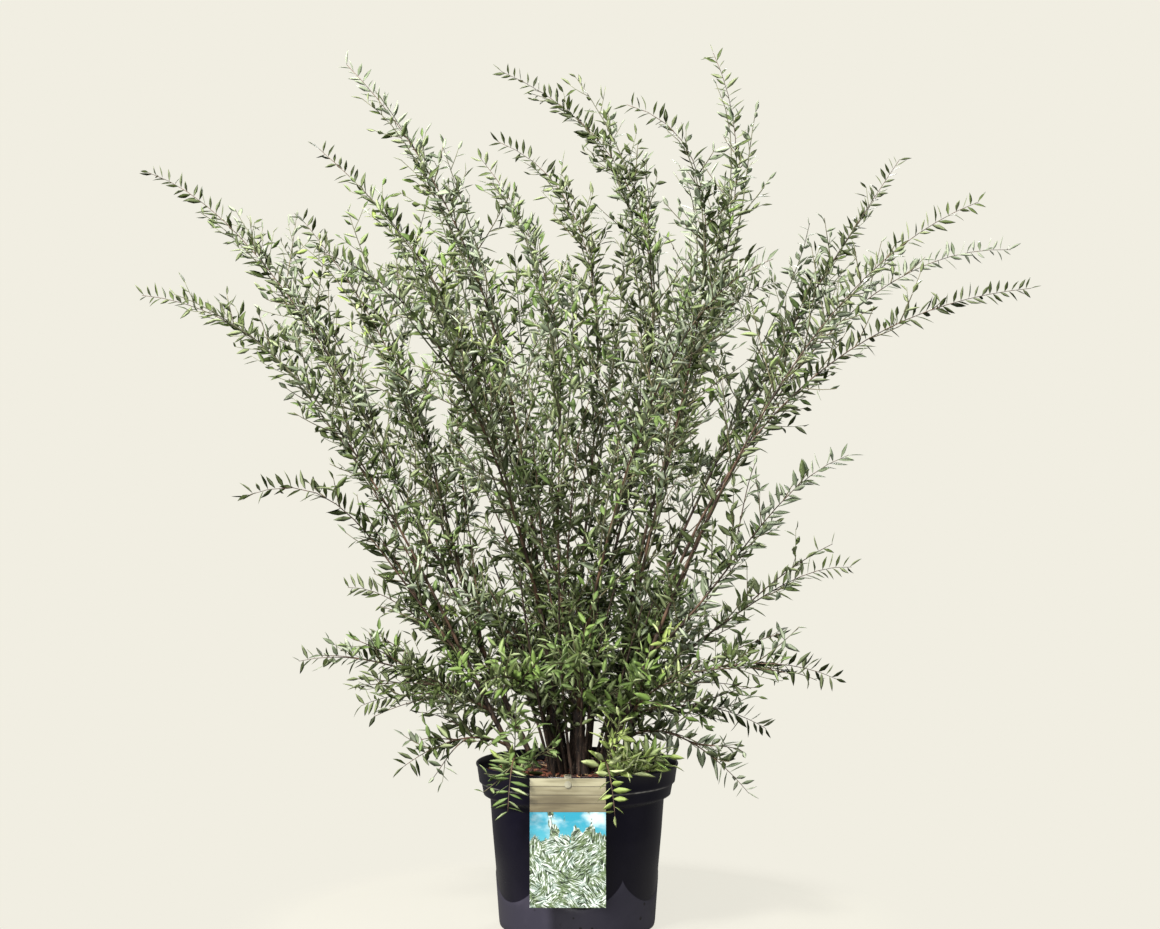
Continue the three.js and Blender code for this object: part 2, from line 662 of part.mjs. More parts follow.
place('pot', potGeometry(), MATERIAL.plastic);
place('soil', soilGeometry(), MATERIAL.soil);
place('label_card', cardGeometry(), MATERIAL.card);
place('label_hanger', hangerGeometry(), MATERIAL.clip);

const wood = new THREE.Group();
const foliage = new THREE.Group();
shrub.add(wood, foliage);

for (const [name, limb] of Object.entries(limbs)) {
  let geometry = limbGeometry(limb.points, limb.radii, limb.sides, !limb.parent);
  if (limb.parent) {
    // The cane starts a little inside the fork and is cut off clear of the stem.
    const sunk = limb.points[0].clone().addScaledVector(limb.curve.getTangentAt(0), -FORK.sunk);
    geometry = limbGeometry([sunk, ...limb.points.slice(1)], limb.radii, limb.sides);
    geometry = toGeometry(toSolid(geometry).subtract(roomRound(limb.parent)));
  }
  place(name, geometry, MATERIAL.bark, wood);
}

Object.entries(masses).forEach(([name, mass], i) => {
  place(name, massGeometry(name, mass, i + 1), MATERIAL.leaf, foliage);
});

export default shrub;
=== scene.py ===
"""The looks of a spirea shrub in a ten-litre nursery pot, built over the packed model.

The packed stems, canes and foliage masses are replaced by limbs with bark, and by twigs and leaves that
grow from the same named lines by the same seeded rule, carried on to finer twigs and leaves of life size.
Tables and lines are in millimetres and degrees, as in the model's own source. Materials, lights and the
finished meshes are in metres.
"""

import json
import math
from types import SimpleNamespace as Table

import bpy
import numpy as np
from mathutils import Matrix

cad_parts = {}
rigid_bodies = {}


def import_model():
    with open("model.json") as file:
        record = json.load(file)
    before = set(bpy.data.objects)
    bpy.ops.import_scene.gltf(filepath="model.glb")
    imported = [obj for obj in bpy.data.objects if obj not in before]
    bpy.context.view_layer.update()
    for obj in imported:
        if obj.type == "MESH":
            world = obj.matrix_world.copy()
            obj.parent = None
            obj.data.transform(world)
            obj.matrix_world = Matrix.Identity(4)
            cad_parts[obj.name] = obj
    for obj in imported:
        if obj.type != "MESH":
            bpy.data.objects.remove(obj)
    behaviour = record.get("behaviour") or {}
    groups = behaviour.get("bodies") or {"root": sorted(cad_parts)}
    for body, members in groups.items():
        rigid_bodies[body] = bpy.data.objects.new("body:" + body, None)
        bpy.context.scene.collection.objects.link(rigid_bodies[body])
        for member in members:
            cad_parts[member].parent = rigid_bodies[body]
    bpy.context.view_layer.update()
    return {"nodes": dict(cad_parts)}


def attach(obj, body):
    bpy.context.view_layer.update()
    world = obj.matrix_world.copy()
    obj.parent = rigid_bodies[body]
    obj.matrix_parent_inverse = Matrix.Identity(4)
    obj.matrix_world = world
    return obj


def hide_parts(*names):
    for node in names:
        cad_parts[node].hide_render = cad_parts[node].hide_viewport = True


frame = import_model()

MM = 0.001
UP = np.array([0.0, 0.0, 1.0])
ACROSS = np.array([1.0, 0.0, 0.0])
SEEDS = Table(limbs=7, foliage=11, mulch=5, suckers=3)

# ---- Plan of the plant, as in the model's source ----

GAP = 0.3

POT = Table(
    height=224.5, base_radius=107.5, shoulder_radius=120.5, shoulder_z=180, band_radius=(129.5, 132),
    step_z=197, rim_radius=(135.5, 140), wall=2.2, inner_floor=150,
)
LIP = Table(radius=136, half=4.5)
SOIL_TOP = 210
CARD = Table(width=100, centre_x=-12, top_z=223.5, back_y=-141.8, depth=3, header=44.5)

STEMS = {
    "stem_left": Table(foot=(-28, 2), fork=(-37, 0, 372), radius=(9.5, 7.8)),
    "stem_front": Table(foot=(6, -24), fork=(-3, -38, 345), radius=(8.5, 7.4)),
    "stem_right": Table(foot=(34, 4), fork=(72, 8, 378), radius=(9.5, 7.8)),
    "stem_back": Table(foot=(-4, 32), fork=(4, 64, 350), radius=(8.5, 7.4)),
}
STEM_BEND = Table(at=0.45, out=0.12)

# name: where it grows from, side of the fork, lean at the foot, tip, heading and pitch at the tip, bow,
# and how full its mass stands at the foot and at the tip, where 1 is usual
OPEN = (0.6, 0.6)
CANES = {
    "left_high": ("stem_left", 160, (184, 5), (-314, -130, 1173), (182, 44), None, (1.0, 1.2)),
    "left_top": ((-56, 18), 0, (174, 25), (-621, 60, 1053), (178, 14), (0.42, 0.2), (1.0, 1.3)),
    "left_wide": ((-76, -16), 0, (186, 27), (-597, -90, 863), (184, 2), None, (0.7, 1.5)),
    "centre_left": ("stem_front", 130, (60, 7), (-126, 60, 1098), (180, 18), None, (1.0, 1.2)),
    "top_arch": ("stem_back", 10, (20, 16), (-124, 150, 1216), (180, 22), (0.44, 0.42), (1.0, 1.5)),
    "top_nod": ("stem_right", 250, (310, 12), (51, -190, 1102), (190, 8), None, (0.8, 0.8)),
    "top_right": ("stem_right", 130, (10, 5), (181, -20, 1215), (180, 63), None, (0.8, 0.6)),
    "right_high": ("stem_right", 10, (12, 22), (479, 150, 1093), (8, 56), None, (0.85, 1.0)),
    "right_top": ((62, 26), 0, (14, 15), (652, 170, 951), (8, -4), None, (0.15, 1.0)),
    "right_wide": ((60, -20), 0, (358, 9), (641, -10, 880), (358, 4), (0.45, 0.36), (0.1, 1.1)),
    "right_mid": ((38, -44), 0, (338, 20), (539, -150, 984), (358, 18), (0.42, 0.26), (0.15, 1.0)),
    "front_left": ("stem_left", 270, (236, 20), (-300, -470, 880), (236, 4), None, OPEN),
    "front_right": ("stem_front", 300, (304, 19), (230, -500, 870), (300, 4), None, OPEN),
    "back_left": ("stem_back", 130, (126, 19), (-320, 450, 950), (126, 8), None, OPEN),
    "back_right": ("stem_back", 250, (56, 19), (330, 450, 930), (54, 6), None, OPEN),
}
FORKED = Table(bare=0.1, bow=(0.4, 0.32))
ROOTED = Table(bare=0.22, bow=(0.42, 0.3))
FORK_SPREAD = 6.2

# name: where it grows from, share of the way up, lean at the foot, tip, heading and pitch at the tip,
# and how full it stands at the foot and at the tip
EVEN = (1, 1)
SHOOTS = {
    "left_arm": ("left_wide", 0.85, (188, 40), (-452, -130, 588), (190, -24), (0.3, 0.7)),
    "left_upper": ("left_top", 0.62, (178, 58), (-334, 20, 462), (182, -12), (1.0, 1.3)),
    "left_mid": ("left_wide", 0.5, (190, 58), (-386, -90, 368), (188, -18), (1.2, 1.5)),
    "left_low": ("left_top", 0.34, (170, 62), (-322, 90, 284), (172, -28), (1.2, 1.3)),
    "left_foot": ("left_wide", 0.22, (200, 60), (-244, -96, 222), (196, -38), EVEN),
    "right_arm": ("right_mid", 0.85, (350, 50), (372, -130, 652), (352, 14), (0.6, 0.6)),
    "right_upper": ("right_top", 0.62, (4, 62), (404, 70, 488), (0, -10), (0.5, 0.5)),
    "right_mid": ("right_wide", 0.52, (350, 62), (362, -80, 340), (354, -30), EVEN),
    "right_low": ("right_top", 0.32, (14, 64), (280, 72, 252), (10, -36), (0.8, 0.8)),
    "right_foot": ("right_wide", 0.24, (342, 60), (240, -80, 182), (350, -52), (0.6, 0.6)),
    "front_sprig_left": ((-78, -88), 0, (258, 14), (-90, -180, 172), (262, -78), EVEN),
    "front_sprig_right": ((30, -104), 0, (282, 14), (50, -192, 168), (285, -78), (1.5, 1.5)),
    "front_low_left": ("stem_left", 0.5, (230, 50), (-128, -206, 352), (236, -14), EVEN),
    "front_low_mid": ("stem_front", 0.62, (278, 46), (6, -262, 396), (276, -8), EVEN),
    "front_low_right": ("right_mid", 0.36, (300, 50), (150, -226, 350), (304, -18), EVEN),
    "back_low_left": ("stem_back", 0.6, (120, 50), (-120, 270, 350), (118, -20), (1.5, 1.2)),
    "back_low_right": ("stem_back", 0.5, (56, 50), (140, 262, 350), (58, -20), (1.5, 1.2)),
    "inner_left": ("stem_left", 0.8, (204, 44), (-176, -70, 480), (176, 30), EVEN),
    "inner_right": ("stem_right", 0.8, (326, 42), (150, -96, 480), (340, 34), EVEN),
    "left_spur": ("left_high", 0.5, (215, 18), (-360, -60, 1072), (176, 40), (1.0, 1.5)),
    "left_arch": ("left_top", 0.72, (200, 18), (-390, -20, 987), (176, 50), (1.3, 1.3)),
    "centre_spur": ("stem_front", 0.8, (215, 16), (-140, -60, 1062), (176, 50), (1.2, 1.6)),
}
TALL = ("left_spur", "left_arch", "centre_spur")
HANGING = ("front_sprig_left", "front_sprig_right")
SHOOT_BOW = (0.38, 0.3)
BOWS = {"left_arm": (0.55, 0.4), **dict.fromkeys(TALL, (0.44, 0.42)), **dict.fromkeys(HANGING, (0.72, 0.7))}

CANE_RADIUS = Table(foot=4.0, tip=1.7, thin=2.8, flare=1.4, flare_share=0.12)
# Radius of a wand by its share of the way to the tip.
WAND_TAPER = ((0, 1), (0.12, 0.74), (0.35, 0.5), (0.7, 0.26), (1, 0.13))
TURN = math.radians(137.5)
ANY_WAY = (0, 6.3)
SIDE = Table(
    pitch=23, last_at=0.84, size=(0.62, 1.12), fall=0.62, full_at=0.35, light=0.95, longest=1.12,
    least=30, angle=(32, 60), lift=0.3, turn_spread=0.9,
)

# ---- Growth that only the finished plant has ----

# Thin upright shoots beside each wand, thinner and shorter in the skirt, and their own short twigs.
LONG = Table(
    count=7, first=(0.01, 0.6), run=(0.32, 0.5), last_at=0.93, near=25, off=(125, 60), angle=15,
    arriving=0.4, handles=(0.35, 0.3), radius=(1.4, 0.45), rings=12, sides=6, light=1.2, least_light=0.3,
)
LOW_LONG = Table(**vars(LONG))
LOW_LONG.count, LOW_LONG.first, LOW_LONG.near, LOW_LONG.off = 4, (0.05, 0.5), 20, (80, 60)
LOW_LONG.radius, LOW_LONG.light = (1.1, 0.45), 0.4
LONG_SIDE = Table(pitch=30, span=(0.3, 0.95), reach=(34, 80), fall=0.55, stray=0.4, density=0.7, size=0.95)
FINE = Table(
    pitch=26, first_at=0.16, share=(0.3, 0.62), most=85, least=16, angle=(34, 58), rise=0.15, lift=0.35,
    stray=0.5, size=0.92,
)
# Leafy spurs on the low parts of the wands and on the bare limbs above the soil.
SPUR = Table(
    limb_pitch=14.45, wand_pitch=28.9, last_at=0.3, reach=(45, 105), angle=(40, 68), lowest=243,
    lift=0.2, light=0.5, shaded=-0.3, stray=0.4, sizes=(1.05, 1), density=1.2, fine=1.5,
)
# How thick the twigs and leaves stand: at the foot of a crown's wand, at its tip, and in the skirt.
DENSITY = Table(foot=0.3, tip=1.5, skirt=1.7, bare=0.15, shaded=0.7, most_leaves=1.2)
# How the two kinds of mass grow. side is the length of a side shoot, and low its share at the foot.
CROWN = Table(rings=26, radius=CANE_RADIUS.thin, leafy=0.35, size=1.0, side=230, low=0.45, long=LONG)
SKIRT = Table(rings=14, radius=2.6, leafy=0.15, size=1.1, side=130, low=1, long=LOW_LONG)
WAND = Table(bare_tip=14, overlap=0.012, sides=7)
SIDE_TWIG = Table(radii=(0.95, 0.42), rings=6, sides=5, slot=0)
FINE_TWIG = Table(radii=(0.55, 0.32), rings=4, sides=4, slot=1)
# Long shoots above this height have young, green bark.
YOUNG_ABOVE = 600
# Leaves of life size, alternate along each twig.
LEAF = Table(
    first_at=0.1, length=(18, 27), taper=0.35, slender=0.31, width_spread=(0.85, 1.15), pitch=9.4, lean=0.5,
    spread=(0.95, 0.15), rise=(0.12, 0.05), stray=0.2, below=0.7, facing=(0.4, 0.55), facing_stray=0.65,
    fold=0.16, curl=(-0.05, 0.08), thickness=0.28,
)
LEAF_STATIONS = np.array([0.14, 0.42, 0.72])
LEAF_WIDTHS = np.array([0.42, 1.0, 0.68])
# Where a row of leaf data is split: root, way it points, upper side, length, width and tint.
LEAF_COLUMNS = (3, 6, 9, 10, 11)
LEAVES_IN_A_PIECE = 8000
CLEAR = 1.5
# Leaves on a wand stand in two rows, above and below. Their size is times the mass's own.
WAND_LEAVES = {"size": 1.2, "pitch": 0.54, "comb": 1.5, "slender": 0.85}
# The two sprigs that hang over the rim have no side shoots there, and leaves left and right.
SPRIGS = {
    "skirt_front_sprig_left": dict(tint=3, size=1.3, pitch=0.46, comb=5, slender=0.65, over=ACROSS),
    "skirt_front_sprig_right": dict(tint=5, size=1.2, pitch=0.55, comb=1.5, slender=1.15, over=ACROSS),
}
# Low tufts of leafy twigs on the soil beside the sprigs.
TUFTS = (
    Table(foot=(52, -84), tints=(5, 5, 4, 5), count=16, heading=(280, 372), reach=(45, 92)),
    Table(foot=(-74, -74), tints=(5, 3, 1), count=6, heading=(190, 265), reach=(40, 70)),
)
TUFT = Table(spread=9, pitch=(24, 62), knee=0.6, droop=45, sizes=(1.4, 1.25), density=1.1, fine=1.3)
# Thin shoots, bare below, that rise from the soil among the stems.
SUCKERS = Table(
    count=26, ring=(14, 62), rise=(190, 330), lean=(4, 28), stray=8, radius=(2.3, 0.9), rings=40,
    sides=8, leafy=0.3,
)
ROOT_DEPTH = 5

# Colours of the sprays, dark to fresh: upper side, its drift, and underside.
TINTS = [
    ("shade", 0x262F0E, 0x36411C, 0x616A4C),
    ("olive", 0x48552C, 0x58653A, 0x808966),
    ("grey", 0x606B53, 0x717C63, 0x9BA38D),
    ("green", 0x566A39, 0x677C46, 0x8E9971),
    ("fresh", 0x5F7638, 0x708747, 0x919E6F),
    ("lime", 0x7D8F4B, 0x8F9D5B, 0xA3AD7D),
    ("silver", 0x879279, 0x97A188, 0xAAB39C),
]
# Bark of the wands, old and young, and of the twigs, dark and light.
TWIG_BARKS = [
    ("wand_bark", 0x2F221B, 0x5A4536),
    ("young_wand", 0x3B3A29, 0x62624A),
    ("shoot_bark", 0x45402D, 0x666045),
    ("new_shoot", 0x575A3D, 0x737753),
]
# How often each tint is drawn, by where a spray is. Sprays inside the plant draw darker tints than outer
# ones, and those in the core below the crown mostly the shade tint: painted shade.
INNER_SHARES = np.array([0.3, 0.26, 0.12, 0.23, 0.07, 0.01, 0.01])
OUTER_SHARES = np.array([0.2, 0.25, 0.26, 0.17, 0.03, 0.0, 0.09])
WAND_SHARES = np.array([0.42, 0.42, 0.1, 0.06, 0.0, 0.0, 0.0])
SKIRT_SHARES = np.array([0.17, 0.28, 0.25, 0.22, 0.04, 0.0, 0.04])
FRESH_AND_SUNLIT_SHARES = np.array([0.08, 0.14, 0.02, 0.4, 0.32, 0.04, 0.0])
CORE_PAINTED_SHADE_SHARES = np.array([0.58, 0.22, 0.02, 0.16, 0.02, 0.0, 0.0])
# The tips of these wands are paler than the rest.
PALE_WANDS = {"crown_left_high": 2, "crown_right_top": 2}
# Reach over which sprays grow paler outward, and the core below the crown, where painted shade is darkest.
OUTER = Table(radius=420, from_z=500, rise=1400)
CORE = Table(radius=130, top=640, front=-90)
# Where sprays are bright, partly fresh new growth and partly painted light on sunlit clusters: centre and
# radius.
FRESH_AND_SUNLIT_PLACES = [
    ((-280, -80, 926), 130),
    ((-65, -120, 815), 100),
    ((212, -150, 732), 120),
    ((18, -180, 558), 80),
    ((70, -180, 400), 120),
    ((-60, -200, 380), 120),
    ((95, -120, 250), 90),
    ((-150, -120, 350), 60),
    ((280, 20, 870), 80),
]

# Pot moulding, soil bed and bark chips.
POT_SIDES = 192
WALL_RINGS = 60
ARCHES = Table(count=6, peak_at=33, peak_z=80, low_z=43, power=0.65, proud=0.9, soft=2.4, top_z=130)
BED = Table(sides=160, flat=(1, 120, 60), edge=(125, 129, 129.6), rough=0.5, bottom=196)
CHIPS = Table(count=1500, shares=(0.47, 0.43, 0.1), ring=126, edge=128.5, uneven=0.28, tilt=0.28)
CHIP_KINDS = [
    ("bark_chip_dark", 0x2A1A15, 0x40281F),
    ("bark_chip_red", 0x5E3323, 0x7C4731),
    ("straw_bit", 0x9A7A55, 0xC9AC80),
]

# Studio.
CREAM = 0xF1EEE2
FLOOR = Table(half=12.0, albedo=0.51, cover=0.17, fade=(0.1, 0.5))
CAMERA = Table(distance=2.7, x=0.004, z=0.6355, mm_per_pixel=1.386, pixels=1160, sensor=36)
WORLD_LIGHT = Table(colour=(1.0, 0.98, 0.95, 1), strength=0.14)
# name: place, size, watts, colour
LIGHTS = {
    "key": ((-1.3, -1.9, 2.7), 0.6, 270, (1.0, 0.98, 0.93)),
    "fill": ((2.2, -1.6, 1.4), 1.0, 26, (0.94, 0.97, 1.0)),
    "front": ((-0.5, -2.6, 0.6), 1.4, 36, (1.0, 0.99, 0.96)),
    "rim_light": ((0.6, 2.2, 2.6), 1.0, 90, (1.0, 0.99, 0.96)),
}
LIGHTS_AIM_Z = 0.6

# ---- Lines: seeded draws, curves by arc length, frames ----

WORD = 0xFFFFFFFF


def dice(seed):
    """Seeded random numbers from 0 to 1, the same as in the model's source."""
    state = seed & WORD

    def draw():
        nonlocal state
        state = (state + 0x6D2B79F5) & WORD
        t = state
        t = ((t ^ (t >> 15)) * (t | 1)) & WORD
        t ^= (t + (((t ^ (t >> 7)) * (t | 61)) & WORD)) & WORD
        return (t ^ (t >> 14)) / 4294967296

    return draw


def lerp(a, b, s):
    return a + (b - a) * s


def unit(v):
    return v / np.maximum(np.linalg.norm(v, axis=-1, keepdims=True), 1e-12)


def direction(heading, pitch):
    h, p = math.radians(heading), math.radians(pitch)
    return np.array([math.cos(h) * math.cos(p), math.sin(h) * math.cos(p), math.sin(p)])


def turned(v, axis, angle):
    """v turned about a unit axis, for single vectors or for rows of them."""
    angle = np.asarray(angle)[..., None]
    along = np.sum(v * axis, axis=-1, keepdims=True) * axis
    return v * np.cos(angle) + np.cross(axis, v) * np.sin(angle) + along * (1 - np.cos(angle))


class Line:
    """A Bezier curve of three or four controls, read by shares of its length."""

    STEPS = 200

    def __init__(self, *controls):
        self.controls = np.array(controls, float)
        self.t = np.linspace(0, 1, self.STEPS + 1)
        points = self.raw(self.t)
        steps = np.linalg.norm(np.diff(points, axis=0), axis=1)
        self.run = np.concatenate([[0], np.cumsum(steps)])
        self.length = self.run[-1]

    def raw(self, t):
        rows, t = self.controls, t[:, None]
        while len(rows) > 1:
            rows = [a * (1 - t) + b * t for a, b in zip(rows, rows[1:])]
        return rows[0]

    def place(self, s):
        return np.interp(np.atleast_1d(s) * self.length, self.run, self.t)

    def at(self, s):
        return self.raw(self.place(s))

    def tangent(self, s):
        t = self.place(s)
        return unit(self.raw(np.minimum(t + 1e-4, 1)) - self.raw(np.maximum(t - 1e-4, 0)))


def arch(start, lean, tip, end, bow):
    tip = np.array(tip, float)
    chord = np.linalg.norm(tip - start)
    first = start + direction(lean[0], 90 - lean[1]) * bow[0] * chord
    second = tip - direction(*end) * bow[1] * chord
    return Line(start, first, second, tip)


def frames(points):
    """Normal and binormal at each point of a polyline, turning as little as they can."""
    tangents = unit(np.gradient(points, axis=0))
    normal = np.array([1.0, 0, 0])
    normals = []
    for tangent in tangents:
        if abs(normal @ tangent) > 0.9:
            normal = np.array([0, 1.0, 0])
        normal = unit(normal - tangent * (normal @ tangent))
        normals.append(normal)
    normals = np.array(normals)
    return normals, np.cross(tangents, normals)


# ---- Meshes ----


def round_angles(sides):
    return np.arange(sides) * 2 * math.pi / sides


def ring_quads(rings, sides):
    """Quads between rings of points that follow one another, each of them closed."""
    k, j = np.meshgrid(np.arange(rings - 1), np.arange(sides), indexing="ij")
    a = (k * sides + j).ravel()
    b = (k * sides + (j + 1) % sides).ravel()
    return np.stack([a, b, b + sides, a + sides], axis=1)


def fan(first, sides, centre, flip=False):
    j = np.arange(sides)
    a, b = first + j, first + (j + 1) % sides
    c = np.full(sides, centre)
    return np.stack([b, a, c] if flip else [a, b, c], axis=1)


def shown(name, data):
    obj = bpy.data.objects.new(name, data)
    bpy.context.scene.collection.objects.link(obj)
    return obj


class Heap:
    """Vertices and faces gathered for one joined mesh, in millimetres."""

    def __init__(self):
        self.points, self.faces, self.slots, self.count = [], {3: [], 4: []}, {3: [], 4: []}, 0

    def add(self, points, tris=None, quads=None, slot=0):
        for size, faces in ((3, tris), (4, quads)):
            if faces is not None:
                self.faces[size].append(faces + self.count)
                self.slots[size].append(np.broadcast_to(slot, len(faces)))
        self.points.append(points)
        self.count += len(points)

    def skin(self, rings, ends, slot=0):
        """A closed surface through rings of points, with a fan to a point at each end."""
        count, sides = rings.shape[:2]
        points = np.concatenate([rings.reshape(-1, 3), ends])
        last = (count - 1) * sides
        caps = [fan(0, sides, len(points) - 2, flip=True), fan(last, sides, len(points) - 1)]
        self.add(points, tris=np.concatenate(caps), quads=ring_quads(count, sides), slot=slot)

    def piece(self, name, materials, slot, smooth=True):
        """The heap as one shown object, which rides on the part's one body."""
        mesh = bpy.data.meshes.new(name)
        sizes = [size for size in (3, 4) if self.faces[size]]
        faces = [face for size in sizes for face in np.concatenate(self.faces[size]).tolist()]
        marks = np.concatenate([marks for size in sizes for marks in self.slots[size]])
        mesh.from_pydata(np.concatenate(self.points) * MM, [], faces, shade_flat=not smooth)
        mesh.polygons.foreach_set("material_index", marks.astype(np.int32))
        mesh.validate()
        for material in materials:
            mesh.materials.append(material)
        obj = shown(name, mesh)
        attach(obj, "root")
        return obj


def tube(heap, points, radii, sides, slot=0, relief=None):
    """A closed tube along a polyline. relief scales the radius at each ring and side."""
    normals, binormals = frames(points)
    angles = round_angles(sides)
    reach = radii[:, None] * (1 if relief is None else relief)
    cos, sin = np.cos(angles)[None, :, None], np.sin(angles)[None, :, None]
    out = normals[:, None] * cos + binormals[:, None] * sin
    heap.skin(points[:, None] + reach[..., None] * out, np.stack([points[0], points[-1]]), slot)


# ---- Materials ----


def srgb(code):
    """Linear colour from a 24-bit sRGB code."""
    parts = [((code >> shift) & 255) / 255 for shift in (16, 8, 0)]
    return tuple(c / 12.92 if c <= 0.04045 else ((c + 0.055) / 1.055) ** 2.4 for c in parts) + (1,)


class Tree:
    """The node tree of a material or a world."""

    def __init__(self, owner):
        owner.use_nodes = True
        self.tree = owner.node_tree

    def new(self, kind, **inputs):
        node = self.tree.nodes.new("ShaderNode" + kind)
        for key, value in inputs.items():
            self.set(node.inputs[key.replace("_", " ")], value)
        return node

    def set(self, socket, value):
        if isinstance(value, bpy.types.NodeSocket):
            self.tree.links.new(value, socket)
        else:
            socket.default_value = value


class Nodes(Tree):
    """A new material's node tree, with short calls for the nodes used here."""

    def __init__(self, name):
        self.material = bpy.data.materials.new(name)
        super().__init__(self.material)
        self.shader = self.tree.nodes["Principled BSDF"]
        self.place = self.new("TexCoord").outputs["Object"]

    def split(self, vector):
        return self.new("SeparateXYZ", Vector=vector).outputs

    def noise(self, scale, detail=3.0, stretch=None):
        place = self.place
        if stretch:
            place = self.new("Mapping", Vector=place, Scale=stretch).outputs["Vector"]
        return self.new("TexNoise", Vector=place, Scale=scale, Detail=detail).outputs["Fac"]

    def math(self, operation, *values):
        node = self.new("Math")
        node.operation = operation
        for socket, value in zip(node.inputs, values):
            self.set(socket, value)
        return node.outputs[0]

    def times(self, a, b):
        return self.math("MULTIPLY", a, b)

    def plus(self, a, b):
        return self.math("ADD", a, b)

    def minus(self, a, b):
        return self.math("SUBTRACT", a, b)

    def ramp(self, value, low, high):
        """0 below low, 1 above high, smooth between."""
        node = self.new("MapRange", Value=value, From_Min=low, From_Max=high)
        node.interpolation_type = "SMOOTHSTEP"
        return node.outputs["Result"]

    def fit(self, value, low, high):
        """A value from 0 to 1 carried to a range."""
        return self.new("MapRange", Value=value, To_Min=low, To_Max=high).outputs["Result"]

    def mix(self, factor, a, b):
        """Between two colours, each a socket or an sRGB code."""
        node = self.new("Mix")
        node.data_type = "RGBA"
        self.set(node.inputs["Factor"], factor)
        for socket, colour in ((node.inputs[6], a), (node.inputs[7], b)):
            self.set(socket, srgb(colour) if isinstance(colour, int) else colour)
        return node.outputs[2]

    def mottle(self, noise, a, b, low=0.35, high=0.65):
        """Two colours in soft patches."""
        return self.mix(self.ramp(noise, low, high), a, b)

    def finish(self, colour, roughness, bump=None, strength=0.3, depth=0.001, specular=0.5, coat=0.0):
        self.set(self.shader.inputs["Base Color"], colour)
        self.set(self.shader.inputs["Roughness"], roughness)
        self.shader.inputs["Specular IOR Level"].default_value = specular
        self.shader.inputs["Coat Weight"].default_value = coat
        if bump is not None:
            node = self.new("Bump", Height=bump, Strength=strength, Distance=depth)
            self.set(self.shader.inputs["Normal"], node.outputs["Normal"])
        return self.material


def leaf_material(name, code, other):
    """Leaf skin: a plain colour with a little drift, fine veins and a waxy surface."""
    n = Nodes(name)
    drift = n.ramp(n.noise(14, 2), 0.35, 0.65)
    wax = n.fit(n.noise(60), 0.42, 0.64)
    colour = n.mix(n.times(drift, 0.6), code, other)
    return n.finish(colour, wax, n.noise(900, 2), 0.25, 0.0004, specular=0.3)


def bark_material(name, dark, light, grain):
    """Bark: darker and lighter streaks along the limb, with flakes."""
    n = Nodes(name)
    streaks = n.noise(grain, 6, (1, 1, 0.12))
    flakes = n.noise(grain * 2.2, 4, (1, 1, 0.5))
    colour = n.mottle(streaks, dark, light, 0.35, 0.68)
    colour = n.mix(n.times(n.ramp(flakes, 0.58, 0.72), 0.35), colour, 0x9A8A76)
    height = n.plus(streaks, n.times(flakes, 0.5))
    return n.finish(colour, n.fit(flakes, 0.6, 0.9), height, 0.7, 0.0012, specular=0.3)


def twig_material(name, dark, light):
    n = Nodes(name)
    colour = n.mottle(n.noise(35, 3), dark, light)
    sheen = n.fit(n.noise(150), 0.45, 0.7)
    return n.finish(colour, sheen, n.noise(700), 0.3, 0.0005, specular=0.35)


def pot_material():
    """Moulded black plastic: a paler foot band with arched edges, a pale line painted on the step as a
    highlight, and specks.
    """
    n = Nodes("pot_plastic")
    parts = n.split(n.place)
    z = parts["Z"]
    degrees = n.times(n.math("ARCTAN2", parts["Y"], parts["X"]), 180 / math.pi)
    turns = n.math("DIVIDE", n.minus(degrees, ARCHES.peak_at - 90), 360 / ARCHES.count)
    share = n.math("FRACT", turns)
    rise = n.math("POWER", n.math("SINE", n.times(share, math.pi)), ARCHES.power)
    edge = n.math("MULTIPLY_ADD", rise, (ARCHES.low_z - ARCHES.peak_z) * MM, ARCHES.peak_z * MM)
    foot = n.ramp(n.minus(edge, z), -0.0006, 0.0006)
    drag = n.noise(160, 3, (1, 1, 0.03))
    scuffs = n.noise(26, 5)
    film = n.times(n.ramp(scuffs, 0.42, 0.7), n.fit(foot, 0.01, 0.05))
    colour = n.mix(foot, 0x0A0816, 0x32303C)
    colour = n.mix(film, colour, 0x7C7688)
    specks = n.new("TexVoronoi", Vector=n.place, Scale=62.0).outputs["Distance"]
    low_patches = n.times(foot, n.ramp(n.noise(30), 0.42, 0.5))
    speck = n.times(n.ramp(specks, 0.2, 0.14), low_patches)
    colour = n.mix(n.times(speck, 0.9), colour, 0x0E0A09)
    # A thin pale line along the step, patchy by noise, is a painted highlight where the step's edge catches
    # the light.
    off_step = n.math("ABSOLUTE", n.minus(z, (POT.step_z + 1.2) * MM))
    painted_step_highlight = n.times(n.ramp(off_step, 0.0016, 0.0004), n.ramp(n.noise(30, 4), 0.42, 0.62))
    colour = n.mix(n.times(painted_step_highlight, 0.6), colour, 0xC9C6C0)
    rough = n.plus(n.fit(scuffs, 0.22, 0.36), n.times(foot, 0.14))
    height = n.plus(drag, n.noise(1200, 2))
    return n.finish(colour, rough, height, 0.08, 0.0004, specular=0.34)


